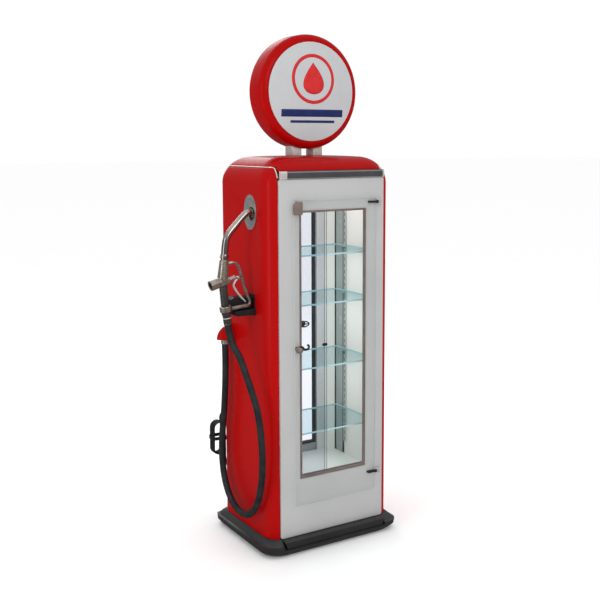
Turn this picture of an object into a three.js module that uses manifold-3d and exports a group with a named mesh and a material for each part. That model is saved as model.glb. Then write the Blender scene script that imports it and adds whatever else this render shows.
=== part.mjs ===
// A display cabinet in the form of a retro filling-station pump: red side shells round a glazed
// showcase, a lit globe on top, and a hand nozzle with its hose on the left side.
// Millimetres, +Z up. The front faces -Y and the floor is z = 0.
import * as THREE from "three";
import { ConvexGeometry } from "three/addons/geometries/ConvexGeometry.js";
import { mergeVertices } from "three/addons/utils/BufferGeometryUtils.js";
import Module from "manifold-3d";

const wasm = await Module();
wasm.setup();

// ---- Driving dimensions -------------------------------------------------------------------
const GAP = 0.3; // clearance between pieces that touch
const BODY_W = 516; // cabinet body, side to side
const BODY_D = 392; // cabinet body, front to back
const CORNER_R = 60; // vertical corners of the body
const SKIN = 3; // sheet thickness of shells and hood
const SHEET = 4; // thickness of the front and back panels, over their paint and folds
const BASE_TOP = 60;
const BASE_FLARE = 27; // how far the plinth stands out from the body
const BACK_FLARE = 8; // and how far at the back, which stands near a wall
const SEAM_Z = 1376; // seam between side shells and hood
const SHOULDER_Z = 1314; // where the rounding of the top starts
const SHOULDER_IN = 84; // how far in the rounding reaches
const HOOD_Z = 1412;
const SHELL_EDGE = 219.5; // half width left open between the two side shells
const PANEL_HALF = 218.2;
const PANEL_TOP = 1335.5;
const PANEL_T = 10;
const STRIP_H = 27; // bright header strip over the front panel
const WINDOW_HALF = 139;
const WINDOW_BOTTOM = 270;
const WINDOW_TOP = 1226.5;
const REAR_HALF = 166;
const REAR_BOTTOM = 246;
const REAR_TOP = 1240;
const DECK_Z = 216; // top of the cabinet floor
const CEILING_Z = 1300;
const WALL_X = 238; // outer face of the inner side walls
const RETURN_X = 169; // inner ends of their returns beside the rear door
const SHELF_Z = [408, 648, 880, 1058];
const SHELF_T = 6;
const LATCH_Z = 742;
const GLOBE_D = 405;
const GLOBE_Z = 1639;
const GLOBE_BAND = 108;
const LENS_D = 351;
const NOZZLE_Y = -86; // the nozzle hangs in this plane, square to the side
const HOSE_D = 24;
const LEAD_D = 7;

const BX = BODY_W / 2;
const BY = BODY_D / 2;
const PANEL_FRONT = -(BY + 2);
const PANEL_BACK = PANEL_FRONT + PANEL_T;

// ---- Materials ----------------------------------------------------------------------------
const material = (color, roughness, metalness = 0, opacity = 1) =>
  new THREE.MeshStandardMaterial({
    color,
    roughness,
    metalness,
    opacity,
    transparent: opacity < 1,
  });
const RED = material(0xb31414, 0.25);
const GREY = material(0xaeaeac, 0.45);
const BLACK = material(0x242224, 0.5);
const RUBBER = material(0x15181a, 0.7);
const WHITE = material(0xe6e4df, 0.5);
const CHROME = material(0xd9dce0, 0.12, 1);
const STEEL = material(0x8f8f8c, 0.35, 1);
const CAST = material(0x8d8983, 0.45, 1);
const BRONZE = material(0x7a5a46, 0.4, 0.8);
const GLASS = material(0xcfe3e4, 0.05, 0, 0.3);
const OPAL = material(0xe9e9ea, 0.3);

// ---- Helpers ------------------------------------------------------------------------------
const part = new THREE.Group();
part.name = "pump_cabinet";

function solid(geometry) {
  const bare = geometry.index ? geometry.clone() : geometry;
  bare.deleteAttribute("normal");
  bare.deleteAttribute("uv");
  const merged = mergeVertices(bare, 1e-4);
  return new wasm.Manifold(
    new wasm.Mesh({
      numProp: 3,
      vertProperties: merged.attributes.position.array,
      triVerts: new Uint32Array(merged.index.array),
    }),
  );
}

function add(name, body, look, parent = part) {
  const made = body.getMesh();
  const geometry = new THREE.BufferGeometry();
  geometry.setAttribute(
    "position",
    new THREE.BufferAttribute(new Float32Array(made.vertProperties), 3),
  );
  geometry.setIndex(new THREE.BufferAttribute(made.triVerts, 1));
  geometry.computeVertexNormals();
  const mesh = new THREE.Mesh(geometry, look);
  mesh.name = name;
  parent.add(mesh);
  return mesh;
}

function box(x0, x1, y0, y1, z0, z1) {
  const geometry = new THREE.BoxGeometry(x1 - x0, y1 - y0, z1 - z0);
  geometry.translate((x0 + x1) / 2, (y0 + y1) / 2, (z0 + z1) / 2);
  return solid(geometry);
}

// A round bar, or a cone, from one point to another.
function bar(from, to, radius, endRadius = radius, sides = 16) {
  const a = new THREE.Vector3(...from);
  const b = new THREE.Vector3(...to);
  const axis = b.clone().sub(a);
  const geometry = new THREE.CylinderGeometry(endRadius, radius, axis.length(), sides);
  const turn = new THREE.Quaternion().setFromUnitVectors(
    new THREE.Vector3(0, 1, 0),
    axis.clone().normalize(),
  );
  geometry.applyQuaternion(turn);
  geometry.translate(...a.add(b).multiplyScalar(0.5).toArray());
  return solid(geometry);
}

// A tube swept along hand-picked points.
function swept(points, halfWide, halfHigh, sides, steps, curve) {
  const shape = new THREE.Shape();
  for (let i = 0; i <= sides; i++) {
    const t = (2 * Math.PI * i) / sides;
    const move = i ? "lineTo" : "moveTo";
    shape[move](halfWide * Math.cos(t), halfHigh * Math.sin(t));
  }
  const path =
    curve ||
    new THREE.CatmullRomCurve3(points.map((p) => new THREE.Vector3(...p)), false, "centripetal");
  return solid(new THREE.ExtrudeGeometry(shape, { extrudePath: path, steps }));
}

// A plate with rounded corners, upright and facing the front, with an optional opening.
function roundedOutline(target, x0, x1, z0, z1, radius) {
  target.moveTo(x0 + radius, z0);
  target.lineTo(x1 - radius, z0);
  target.absarc(x1 - radius, z0 + radius, radius, -Math.PI / 2, 0, false);
  target.lineTo(x1, z1 - radius);
  target.absarc(x1 - radius, z1 - radius, radius, 0, Math.PI / 2, false);
  target.lineTo(x0 + radius, z1);
  target.absarc(x0 + radius, z1 - radius, radius, Math.PI / 2, Math.PI, false);
  target.lineTo(x0, z0 + radius);
  target.absarc(x0 + radius, z0 + radius, radius, Math.PI, 1.5 * Math.PI, false);
  return target;
}

function plate(x0, x1, z0, z1, radius, yFront, yBack, bevel = 0) {
  const outline = roundedOutline(
    new THREE.Shape(),
    x0 + bevel,
    x1 - bevel,
    z0 + bevel,
    z1 - bevel,
    radius,
  );
  const geometry = new THREE.ExtrudeGeometry(outline, {
    depth: yBack - yFront - bevel * 2,
    bevelEnabled: bevel > 0,
    bevelThickness: bevel,
    bevelSize: bevel,
    bevelSegments: 2,
    curveSegments: 5,
  });
  geometry.rotateX(Math.PI / 2);
  geometry.translate(0, yBack - bevel, 0);
  return solid(geometry);
}

// A ring of points round a rounded rectangle that is centred on the body's axis.
function ringAt(halfX, halfY, radius, z, perCorner = 7) {
  const r = Math.max(radius, 0.5);
  const corners = [
    [1, 1],
    [-1, 1],
    [-1, -1],
    [1, -1],
  ];
  return corners.flatMap(([sx, sy], k) =>
    Array.from({ length: perCorner + 1 }, (_, i) => {
      const t = (k + i / perCorner) * (Math.PI / 2);
      const x = sx * (halfX - r) + r * Math.cos(t);
      const y = sy * (halfY - r) + r * Math.sin(t);
      return new THREE.Vector3(x, y, z);
    }),
  );
}

function hull(points) {
  return solid(new ConvexGeometry(points));
}

// The body's outer form, grown or shrunk by an offset, from one height up over the crown.
function bodyForm(offset, zBottom) {
  const rings = [ringAt(BX + offset, BY + offset, CORNER_R + offset, zBottom)];
  const rise = HOOD_Z - 4 - SHOULDER_Z;
  for (let i = 0; i <= 6; i++) {
    const t = (i / 6) * (Math.PI / 2);
    const inset = SHOULDER_IN * (1 - Math.cos(t)) - offset;
    const z = SHOULDER_Z + (rise + offset) * Math.sin(t);
    rings.push(ringAt(BX - inset, BY - inset, CORNER_R - inset, z));
  }
  rings.push(ringAt(110, 90, 30, HOOD_Z + offset));
  return hull(rings.flat());
}

// A body turned on a lathe about +Y, or about +Z. The profile's points are [radius, height].
function turned(profile, segments, along = "z") {
  const points = profile.map(([r, h]) => new THREE.Vector2(Math.max(r, 0), h));
  if (THREE.ShapeUtils.area(points) < 0) points.reverse();
  const geometry = new THREE.LatheGeometry([...points, points[0]], segments);
  if (along === "z") geometry.rotateX(Math.PI / 2);
  return solid(geometry);
}

// ---- Base ---------------------------------------------------------------------------------
const KICK_HALF = 206;
const KICK_FRONT = -(BY + 25);

function baseMoulding() {
  // offset from the body, height and corner radius of each step, from the floor up
  const steps = [
    [6, 0, 72],
    [18, 10, 66],
    [BASE_FLARE, 22, 56],
    [BASE_FLARE, 38, 50],
    [BASE_FLARE - 8, 41, 50],
    [BASE_FLARE - 10, 45, 52],
    [2, BASE_TOP, 60],
  ];
  const rings = steps.map(([o, z, r]) => ringAt(BX + o, BY + o, r, z));
  return rings
    .slice(1)
    .map((ring, i) => hull([...rings[i], ...ring]))
    .reduce((sum, layer) => sum.add(layer))
    .intersect(box(-400, 400, -400, BY + BACK_FLARE, -1, 200));
}

// The kick plate's outline at its front, or at its back, as half widths and heights.
function kickForm(grow, low, high) {
  const y = KICK_FRONT - grow;
  const section = [
    [KICK_HALF - 10, y + 17, low],
    [KICK_HALF - 4, y + 5, 24],
    [KICK_HALF, y, 34],
    [KICK_HALF + 8, y, high - 6],
    [KICK_HALF + 10, y + 4, high],
    [KICK_HALF + 10, -(BY + 2) - GAP + grow, high],
    [KICK_HALF - 10, -(BY + 2) - GAP + grow, low],
  ];
  return hull(
    section.flatMap(([x, d, z]) => [-x - grow, x + grow].map((side) => new THREE.Vector3(side, d, z))),
  );
}

function makeBase() {
  const well = box(-240, 240, -180, 180, 4, 100);
  const recess = kickForm(0.9, 7.5, BASE_TOP + 8).add(
    box(-KICK_HALF - 10.9, KICK_HALF + 10.9, -260, -(BY + 2), 28, BASE_TOP + 8),
  );
  add("base_plinth", baseMoulding().subtract(recess).subtract(well), BLACK);
  add("kick_plate", kickForm(0, 8 + GAP, BASE_TOP), BLACK);
}

// ---- Shells, hood and trim ----------------------------------------------------------------
const SPOUT_HOLE = { y: -79, z: 1214, r: 28 };
const SPOUT_R = 12.5;
const HOSE_HOLE = { y: 92, z: 770, r: 20 };

function makeShells() {
  const skin = bodyForm(0, BASE_TOP + GAP).subtract(bodyForm(-SKIN, 0));
  const top = SEAM_Z - 2.2;
  for (const [name, side] of [
    ["side_shell_left", -1],
    ["side_shell_right", 1],
  ]) {
    const [x0, x1] = side < 0 ? [-400, -SHELL_EDGE] : [SHELL_EDGE, 400];
    let shell = skin.intersect(box(x0, x1, -300, 300, 0, top));
    if (side < 0) {
      for (const h of [SPOUT_HOLE, HOSE_HOLE])
        shell = shell.subtract(bar([-300, h.y, h.z], [-200, h.y, h.z], h.r, h.r, 20));
    }
    add(name, shell, RED);
  }

  const over = skin.intersect(box(-400, 400, -300, 300, SEAM_Z + 1.7, 1500));
  const lipLow = PANEL_TOP + STRIP_H + 1;
  const lip = skin.intersect(box(-216.3, 216.3, -300, 300, lipLow, 1500));
  add("top_hood", over.add(lip), RED);

  const bead = bodyForm(1.5, 500).subtract(bodyForm(-7, 0));
  for (const [name, side] of [
    ["trim_left", -1],
    ["trim_right", 1],
  ]) {
    const [x0, x1] = side < 0 ? [-400, -216.6] : [216.6, 400];
    const [l0, l1] = side < 0 ? [-219.2, -216.6] : [216.6, 219.2];
    const ring = bead.intersect(box(x0, x1, -300, 300, SEAM_Z - 1.9, SEAM_Z + 1.4));
    const leg = bead.intersect(box(l0, l1, -300, 0, PANEL_TOP + 4, SEAM_Z));
    add(name, ring.add(leg), CHROME);
  }

  const stripLow = PANEL_TOP + 0.5;
  const stripTop = stripLow + STRIP_H;
  const section = [
    [-BY + 1, stripLow],
    [-BY - 4, stripLow],
    [-BY - 6.5, stripLow + 4],
    [-BY - 4.5, stripLow + 13],
    [-BY - 7.5, stripTop - 6],
    [-BY - 6, stripTop],
    [-BY + 1, stripTop],
  ];
  const outline = new THREE.Shape(section.map(([y, z]) => new THREE.Vector2(y, z)));
  const strip = new THREE.ExtrudeGeometry(outline, { depth: 2 * 216, bevelEnabled: false });
  strip.rotateX(Math.PI / 2);
  strip.rotateZ(Math.PI / 2);
  strip.translate(-216, 0, 0);
  add("header_strip", solid(strip), CHROME);
}

// ---- Front panel and its window -----------------------------------------------------------
const LATCH_X = -150;
const latchNotch = () => box(LATCH_X - 9, -110, -260, -150, LATCH_Z - 10.5, LATCH_Z + 10.5);

// The hollow behind a panel whose edges are folded back.
function pan(half, low, high, y0, y1) {
  return box(-half + SHEET, half - SHEET, y0, y1, low + SHEET, high - SHEET);
}

function makeFront() {
  const panel = plate(-PANEL_HALF, PANEL_HALF, BASE_TOP + 1, PANEL_TOP, 6, PANEL_FRONT, PANEL_BACK, 2.5);
  const opening = box(-WINDOW_HALF, WINDOW_HALF, -260, -150, WINDOW_BOTTOM, WINDOW_TOP);
  const hollow = pan(PANEL_HALF, BASE_TOP + 1, PANEL_TOP, PANEL_FRONT + SHEET, -150);
  const lip = box(
    -WINDOW_HALF - SHEET,
    WINDOW_HALF + SHEET,
    -260,
    -150,
    WINDOW_BOTTOM - SHEET,
    WINDOW_TOP + SHEET,
  );
  const folded = panel.subtract(hollow.subtract(lip));
  add("front_panel", folded.subtract(opening).subtract(latchNotch()), GREY);

  const w = WINDOW_HALF - GAP;
  const y0 = PANEL_FRONT - 3;
  const y1 = PANEL_BACK - 1.5;
  const outer = box(-w, w, y0, y1, WINDOW_BOTTOM + GAP, WINDOW_TOP - GAP);
  const inner = box(-w + 6.5, w - 6.5, -260, -150, WINDOW_BOTTOM + 6.8, WINDOW_TOP - 6.8);
  add("window_frame", outer.subtract(inner).subtract(latchNotch()), BRONZE);
}

// ---- Hinged glass door over the window ----------------------------------------------------
const DOOR = { x0: -163, x1: 180, z0: 175.5, z1: 1262.5, y0: PANEL_FRONT - 8.5, y1: PANEL_FRONT - 3.5 };
const HINGE = { x: 186, y: PANEL_FRONT - 6 };
const HINGE_Z = [242, 1248];

function makeDoor() {
  const pane = plate(DOOR.x0, DOOR.x1, DOOR.z0, DOOR.z1, 4, DOOR.y0, DOOR.y1);
  const hole = bar([LATCH_X, -260, LATCH_Z], [LATCH_X, -150, LATCH_Z], 5, 5, 16);
  add("glass_door", pane.subtract(hole), GLASS);

  HINGE_Z.forEach((z, i) => {
    const name = i ? "top" : "bottom";
    const pivot = (reach) => [HINGE.x, HINGE.y, z + reach];
    const tab = (y0, y1) => box(148, 182, y0, y1, z - 3.5, z + 3.5);
    const front = tab(DOOR.y0 - 2.7, DOOR.y0 - GAP);
    const back = tab(DOOR.y1 + GAP, DOOR.y1 + 2.9);
    const web = box(DOOR.x1 + GAP, 182.5, DOOR.y0 - 2.7, DOOR.y1 + 2.9, z - 3.5, z + 3.5);
    const knuckle = bar(pivot(-6), pivot(6), 4.5, 4.5, 16);
    const bore = bar(pivot(-20), pivot(20), 2.5, 2.5, 12);
    add("hinge_clip_" + name, front.add(back).add(web).add(knuckle).subtract(bore), BLACK);

    const foot = box(192, 206, PANEL_FRONT - 2.6, PANEL_FRONT - GAP, z - 9.5, z + 9.5);
    const ear = (a, b) => box(182, 206, HINGE.y - 4, PANEL_FRONT - GAP, a, b);
    const pin = bar(pivot(-9), pivot(9), 2, 2, 12);
    const bracket = foot.add(ear(z + 6.4, z + 9.5)).add(ear(z - 9.5, z - 6.4)).add(pin);
    add("hinge_bracket_" + name, bracket, GREY);
  });

  // bronze keeper clamped over the pane's free top corner
  const block = hull(
    [
      [-166.5, 1214],
      [-166.5, 1249],
      [-158, 1257.5],
      [-135, 1257.5],
      [-135, 1214],
    ].flatMap(([x, z]) => [DOOR.y0 - 9, DOOR.y0 - GAP].map((y) => new THREE.Vector3(x, y, z))),
  );
  add("catch_block", block, BRONZE);

  const face = DOOR.y0 - GAP;
  const knob = turned(
    [
      [0, 0],
      [14, 0],
      [14, 2],
      [8, 4],
      [7, 8],
      [11.5, 11],
      [12.5, 14],
      [11, 18],
      [6, 20],
      [0, 20.5],
    ],
    24,
  )
    .rotate([90, 0, 0])
    .translate([LATCH_X, face, LATCH_Z]);
  const shaft = bar([LATCH_X, face - 1, LATCH_Z], [LATCH_X, PANEL_BACK + 8, LATCH_Z], 4, 4, 12);
  add("door_knob", knob.add(shaft), BRONZE);

  const arm = swept(
    [
      [LATCH_X, 0, LATCH_Z],
      [-132, 0, LATCH_Z + 5],
      [-119, 0, LATCH_Z + 1],
      [-111, 0, LATCH_Z - 6],
      [-100, 0, LATCH_Z - 7],
      [-93, 0, LATCH_Z + 1],
      [-96, 0, LATCH_Z + 8],
    ],
    3.4,
    1.6,
    8,
    26,
  );
  const boss = bar([LATCH_X, -2.5, LATCH_Z], [LATCH_X, 2.5, LATCH_Z], 6.5, 6.5, 16);
  const eye = bar([LATCH_X, -9, LATCH_Z], [LATCH_X, 9, LATCH_Z], 4.3, 4.3, 16);
  const hook = arm.add(boss).subtract(eye).translate([0, PANEL_BACK + 4.5, 0]);
  add("latch_hook", hook, BLACK);
}

// ---- Cabinet interior ---------------------------------------------------------------------
const TRACK_Y = [-173, -159]; // middle of the two grooves
const PANE_T = 4;
const PANE_W = 214;
const PANE_X = -225.5;

function grooved(z0, z1, grooveLow, grooveHigh) {
  const rail = box(-224, 224, -180, -150, z0, z1);
  return TRACK_Y.reduce(
    (body, y) => body.subtract(box(-300, 300, y - 3, y + 3, grooveLow, grooveHigh)),
    rail,
  );
}

// The cabinet's inside seen from above: straight sides with the corners cut off.
function insidePlan(shrink) {
  const x = WALL_X - shrink;
  const right = [
    [x - 14, PANEL_BACK + 2],
    [x, -164],
    [x, 146],
    [x - 26, BY - 10 - shrink],
  ];
  const left = right.map(([a, b]) => [-a, b]).reverse();
  return [...right, ...left].map(([a, b]) => new THREE.Vector2(a, b));
}

function insideSlab(shrink, z0, z1) {
  const shape = new THREE.Shape(insidePlan(shrink));
  const slab = new THREE.ExtrudeGeometry(shape, { depth: z1 - z0, bevelEnabled: false });
  return solid(slab.translate(0, 0, z0));
}

// A lining of the side walls, open at the front, with returns behind up to the rear door.
function lining(z0, z1) {
  const front = box(-222, 222, -300, 0, z0 - 1, z1 + 1);
  const back = box(-RETURN_X, RETURN_X, -10, 300, z0 - 1, z1 + 1);
  const hollow = insideSlab(SKIN, z0 - 1, z1 + 1).add(front).add(back);
  return insideSlab(0, z0, z1).subtract(hollow);
}

function makeInterior() {
  const skirt = lining(DECK_Z - 5, WINDOW_BOTTOM - 2);
  add("floor_deck", insideSlab(0, DECK_Z - 10, DECK_Z).add(skirt), WHITE);

  const z0 = WINDOW_BOTTOM - 2 + GAP;
  const walls = lining(z0, CEILING_Z - GAP);
  add("inner_wall_left", walls.intersect(box(-300, 0, -300, 300, 0, 2000)), WHITE);
  add("inner_wall_right", walls.intersect(box(0, 300, -300, 300, 0, 2000)), WHITE);
  const topTrack = grooved(CEILING_Z - 18, CEILING_Z + 1, CEILING_Z - 30, CEILING_Z - 6);
  add("ceiling_panel", insideSlab(0, CEILING_Z, CEILING_Z + 3).add(topTrack), WHITE);

  const sill = WINDOW_BOTTOM - 3;
  add("bottom_track", grooved(DECK_Z + GAP, sill, sill - 12, sill + 5), BRONZE);

  const names = ["sliding_pane_front", "sliding_pane_rear"];
  names.forEach((name, i) => {
    const y = TRACK_Y[i];
    const pane = box(PANE_X, PANE_X + PANE_W, y - PANE_T / 2, y + PANE_T / 2, sill - 11, CEILING_Z - 8);
    add(name, pane, GLASS);
  });
  const pullX = PANE_X + PANE_W - 10.5;
  const face = TRACK_Y[0] - PANE_T / 2 - GAP;
  const pull = plate(pullX - 10, pullX + 10, LATCH_Z - 5, LATCH_Z + 5, 4.9, face - 3.5, face);
  add("pane_pull", pull, BLACK);

  SHELF_Z.forEach((z, i) => {
    add("shelf_" + (i + 1), plateFlat(-229, 229, -140, 128, 5, z, z + SHELF_T), GLASS);
  });

  // slotted uprights with a clip under each shelf
  for (const [side, sx] of [
    ["left", -1],
    ["right", 1],
  ])
    for (const [end, y] of [
      ["front", -98],
      ["rear", 76],
    ]) {
      const span = (a, b) => (sx < 0 ? [-b, -a] : [a, b]);
      const [u0, u1] = span(230.5, 234.7);
      let post = box(u0, u1, y - 8, y + 8, z0 + 2, CEILING_Z - 2);
      for (const z of SHELF_Z) {
        const [c0, c1] = span(214, 231.5);
        post = post.add(box(c0, c1, y - 5, y + 5, z - 5, z - GAP));
        const [d0, d1] = span(226, 231.5);
        post = post.add(box(d0, d1, y - 2, y + 2, z - 18, z - 4));
      }
      add(`upright_${side}_${end}`, post, STEEL);
    }
}

// A flat rounded plate lying level.
function plateFlat(x0, x1, y0, y1, radius, z0, z1) {
  const outline = roundedOutline(new THREE.Shape(), x0, x1, y0, y1, radius);
  const geometry = new THREE.ExtrudeGeometry(outline, {
    depth: z1 - z0,
    bevelEnabled: false,
    curveSegments: 3,
  });
  geometry.translate(0, 0, z0);
  return solid(geometry);
}

// ---- Back panel and rear door -------------------------------------------------------------
const REAR = { y0: BY - 8, y1: BY + 2 };
const REAR_HINGE = { x: -REAR_HALF + 3, y: BY + 7.5 };
const REAR_HINGE_Z = [380, 1106];
const GLAND = [-203, BY + 2, 440]; // where the mains lead comes out
const RING = { x: 110, z: 742 };

function makeBack() {
  const panel = plate(-PANEL_HALF + 3, PANEL_HALF - 3, BASE_TOP + 1, 1363, 6, REAR.y0, REAR.y1, 2);
  const opening = box(-REAR_HALF, REAR_HALF, 100, 260, REAR_BOTTOM, REAR_TOP);
  const cordHole = bar([GLAND[0], 100, GLAND[2]], [GLAND[0], 260, GLAND[2]], 6.5, 6.5, 16);
  const hollow = pan(PANEL_HALF - 3, BASE_TOP + 1, 1363, 100, REAR.y1 - SHEET);
  const lip = box(
    -REAR_HALF - SHEET,
    REAR_HALF + SHEET,
    100,
    260,
    REAR_BOTTOM - SHEET,
    REAR_TOP + SHEET,
  );
  const folded = panel.subtract(hollow.subtract(lip));
  add("back_panel", folded.subtract(opening).subtract(cordHole), GREY);

  const m = 1.5;
  const x1 = REAR_HALF - m;
  const z0 = REAR_BOTTOM + m;
  const z1 = REAR_TOP - m;
  const y0 = REAR.y0 - 1;
  const y1 = REAR.y1 + 1;
  const frame = box(-x1, x1, y0, y1, z0, z1);
  const light = box(-x1 + 11, x1 - 11, 100, 260, z0 + 11, z1 - 11);
  const rebate = box(-x1 + 5, x1 - 5, BY - 6, BY - 1, z0 + 5, z1 - 5);
  const onHinge = (z, reach, radius) =>
    bar([REAR_HINGE.x, REAR_HINGE.y, z - reach], [REAR_HINGE.x, REAR_HINGE.y, z + reach], radius, radius, 12);
  let door = frame.subtract(light).subtract(rebate);
  const web = (z) => box(-x1 + 1, -x1 + 9, y1 - 2, REAR_HINGE.y, z - 14, z + 14);
  for (const z of REAR_HINGE_Z) door = door.add(onHinge(z, 14, 5)).add(web(z)).subtract(onHinge(z, 30, 2.5));
  add("rear_door_frame", door, RUBBER);
  const glass = box(-x1 + 5.4, x1 - 5.4, BY - 5.6, BY - 1.4, z0 + 5.4, z1 - 5.4);
  const stem = bar([RING.x, 100, RING.z], [RING.x, 260, RING.z], 5, 5, 16);
  add("rear_door_glass", glass.subtract(stem), GLASS);

  // one long leaf on the panel carries both pins
  const x = REAR_HINGE.x;
  let leaf = box(x - 26, x - 7, REAR.y1 + GAP, REAR.y1 + 2.6, REAR_HINGE_Z[0] - 22, REAR_HINGE_Z[1] + 22);
  for (const z of REAR_HINGE_Z) {
    const ear = (a, b) => box(x - 26, x, REAR.y1 + 1.3, REAR_HINGE.y + 4, a, b);
    const knuckles = onHinge(z, 22, 4).subtract(onHinge(z, 14.6, 5));
    leaf = leaf.add(ear(z + 14.6, z + 22)).add(ear(z - 22, z - 14.6)).add(knuckles).add(onHinge(z, 20, 2));
  }
  add("rear_hinge", leaf, BLACK);

  // turning ring latch on the rear glass
  const hub = bar([RING.x, BY - 16, RING.z], [RING.x, BY + 8, RING.z], 4.4, 4.4, 12);
  const outside = bar([RING.x, BY - 1, RING.z], [RING.x, BY + 6, RING.z], 12, 10, 20);
  const ring = new THREE.TorusGeometry(17, 3, 8, 24);
  ring.rotateX(Math.PI / 2);
  ring.scale(1.25, 1, 0.62);
  ring.translate(RING.x, BY - 13, RING.z);
  const bow = bar([RING.x - 21, BY - 13, RING.z], [RING.x + 21, BY - 13, RING.z], 2.6, 2.6, 8);
  add("rear_latch_ring", hub.add(outside).add(solid(ring)).add(bow), BLACK);
}

// ---- Globe --------------------------------------------------------------------------------
function makeGlobe() {
  const half = GLOBE_BAND / 2;
  const outer = GLOBE_D / 2;
  const mouth = LENS_D / 2;
  const round = outer - mouth; // the shoulders are quarter rounds
  const depth = 23;
  const arc = (r0, yc, dr, dy, from, to) =>
    Array.from({ length: 5 }, (_, i) => {
      const t = from + ((to - from) * i) / 4;
      return [r0 + dr * Math.sin(t), yc + dy * Math.cos(t)];
    });
  const q = Math.PI / 2;
  const yc = half - depth;
  const profile = [
    ...arc(mouth, -yc, round, -depth, 0, q),
    ...arc(mouth, yc, round, depth, q, 0),
    [mouth - 8, half],
    [mouth - 8, half - 4],
    ...arc(mouth, yc, round - 4, depth - 4, 0, q),
    ...arc(mouth, -yc, round - 4, -depth + 4, q, 0),
    [mouth - 8, -half + 4],
    [mouth - 8, -half],
  ];
  const toGlobe = (body) => body.translate([0, 0, GLOBE_Z]);
  add("globe_band", toGlobe(turned(profile, 48, "y")), RED);

  const lensR = mouth - 0.5;
  const bulge = 14;
  const dome = (base, sign, lift) =>
    Array.from({ length: 6 }, (_, i) => {
      const r = (lensR * (5 - i)) / 5;
      return [r, sign * (base + lift * (1 - (r / lensR) ** 2))];
    });
  for (const [name, sign] of [
    ["globe_lens_front", -1],
    ["globe_lens_back", 1],
  ]) {
    const face = dome(half + 3.5, sign, bulge);
    const under = dome(half + GAP, sign, bulge).reverse();
    add(name, toGlobe(turned([...face, ...under], 40, "y")), OPAL);
  }

  const clear = toGlobe(turned([[0, -80], [outer + GAP, -80], [outer + GAP, 80], [0, 80]], 96, "y"));
  for (const [name, x] of [
    ["globe_lug_left", -44],
    ["globe_lug_right", 44],
  ]) {
    const foot = box(x - 19, x + 19, -26, 26, HOOD_Z + GAP, HOOD_Z + 60);
    add(name, foot.subtract(clear), STEEL);
  }

  const lampFoot = GLOBE_Z - outer + 6;
  const lamp = turned(
    [
      [0, 0],
      [24, 0],
      [24, 6],
      [17, 10],
      [17, 48],
      [22, 62],
      [29, 84],
      [29, 100],
      [18, 116],
      [0, 121],
    ],
    20,
  );
  add("globe_lamp", lamp.translate([0, 0, lampFoot]), OPAL);
}

// ---- Nozzle, its holders and hose ---------------------------------------------------------
const at = ([x, z], y = NOZZLE_Y) => [x, y, z];
const COLLAR_LOW = [-368, 880];
const COLLAR_TOP = [-371, 901];
const CROSS = [-379, 988];
const CROSS_END = [-426, 975];
const SLEEVE_TOP = [-372, 1062];
const BOOT_Y = NOZZLE_Y + 9;
const TRIGGER_PIN = [-320, 996];

// A bar across the trigger's pivot.
function onPin(reach, radius) {
  return bar(at(TRIGGER_PIN, NOZZLE_Y - reach), at(TRIGGER_PIN, NOZZLE_Y + reach), radius, radius, 16);
}

function makeNozzle() {
  const dark = bar(at(COLLAR_TOP), at(CROSS), 14, 15, 16);
  const collar = bar(at(COLLAR_LOW), at(COLLAR_TOP), 21, 21, 24);
  const sleeve = bar(at(CROSS), at(SLEEVE_TOP), 21, 17, 20);
  const cross = bar(at([-360, 993]), at(CROSS_END), 18, 18, 24);
  const mouth = bar(at([-406, 980.5]), at([-430, 974]), 12, 12, 20);
  const link = bar(at([-372, 983]), at([-322, 1003]), 6.5, 6.5, 12);
  const slot = box(-345, -290, NOZZLE_Y - 4, NOZZLE_Y + 4, 960, 1008);
  const fork = link.add(onPin(8, 6.5)).subtract(slot.intersect(onPin(9, 12)));
  const pin = onPin(7, 2);
  const socket = bar(at([-373.1, 1050]), at([-369, 1094]), SPOUT_R + 0.8, SPOUT_R + 0.8, 16);
  const body = dark.add(collar).add(sleeve).add(cross).add(fork).add(pin).subtract(mouth).subtract(socket);
  add("nozzle_body", body, CAST);

  const spoutPath = [
    [-373, 1051],
    [-370.5, 1078],
    [-367.5, 1108],
    [-362, 1134],
    [-350, 1154],
    [-328, 1177],
    [-300, 1205],
    [-284, 1218],
    [-270, 1222],
    [-258, 1217],
    [-250, 1205],
  ];
  add("nozzle_spout", swept(spoutPath.map((p) => at(p)), SPOUT_R, SPOUT_R, 12, 32), CHROME);

  const guardPath = [
    [-354.6, 1046],
    [-334, 1050],
    [-318, 1038],
    [-310, 1012],
    [-297, 968],
    [-284, 930],
    [-276, 906],
    [-283, 897],
    [-300, 895],
    [-347.5, 890.5],
  ];
  add("nozzle_guard", swept(guardPath.map((p) => at(p)), 7, 5, 8, 40), CAST);

  const levers = [
    TRIGGER_PIN,
    [-331, 984],
    [-337, 971],
    [-331, 957],
    [-312, 931],
    [-292, 910],
  ];
  const eye = onPin(3.4, 5.5);
  const hole = onPin(9, 2.5);
  const lever = swept(levers.map((p) => at(p)), 3, 3, 8, 20);
  add("nozzle_trigger", lever.add(eye).subtract(hole), CHROME);
}

function alongCollar(distance) {
  const dx = COLLAR_LOW[0] - COLLAR_TOP[0];
  const dz = COLLAR_LOW[1] - COLLAR_TOP[1];
  const n = Math.hypot(dx, dz);
  return [COLLAR_LOW[0] + (dx / n) * distance, COLLAR_LOW[1] + (dz / n) * distance];
}

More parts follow.
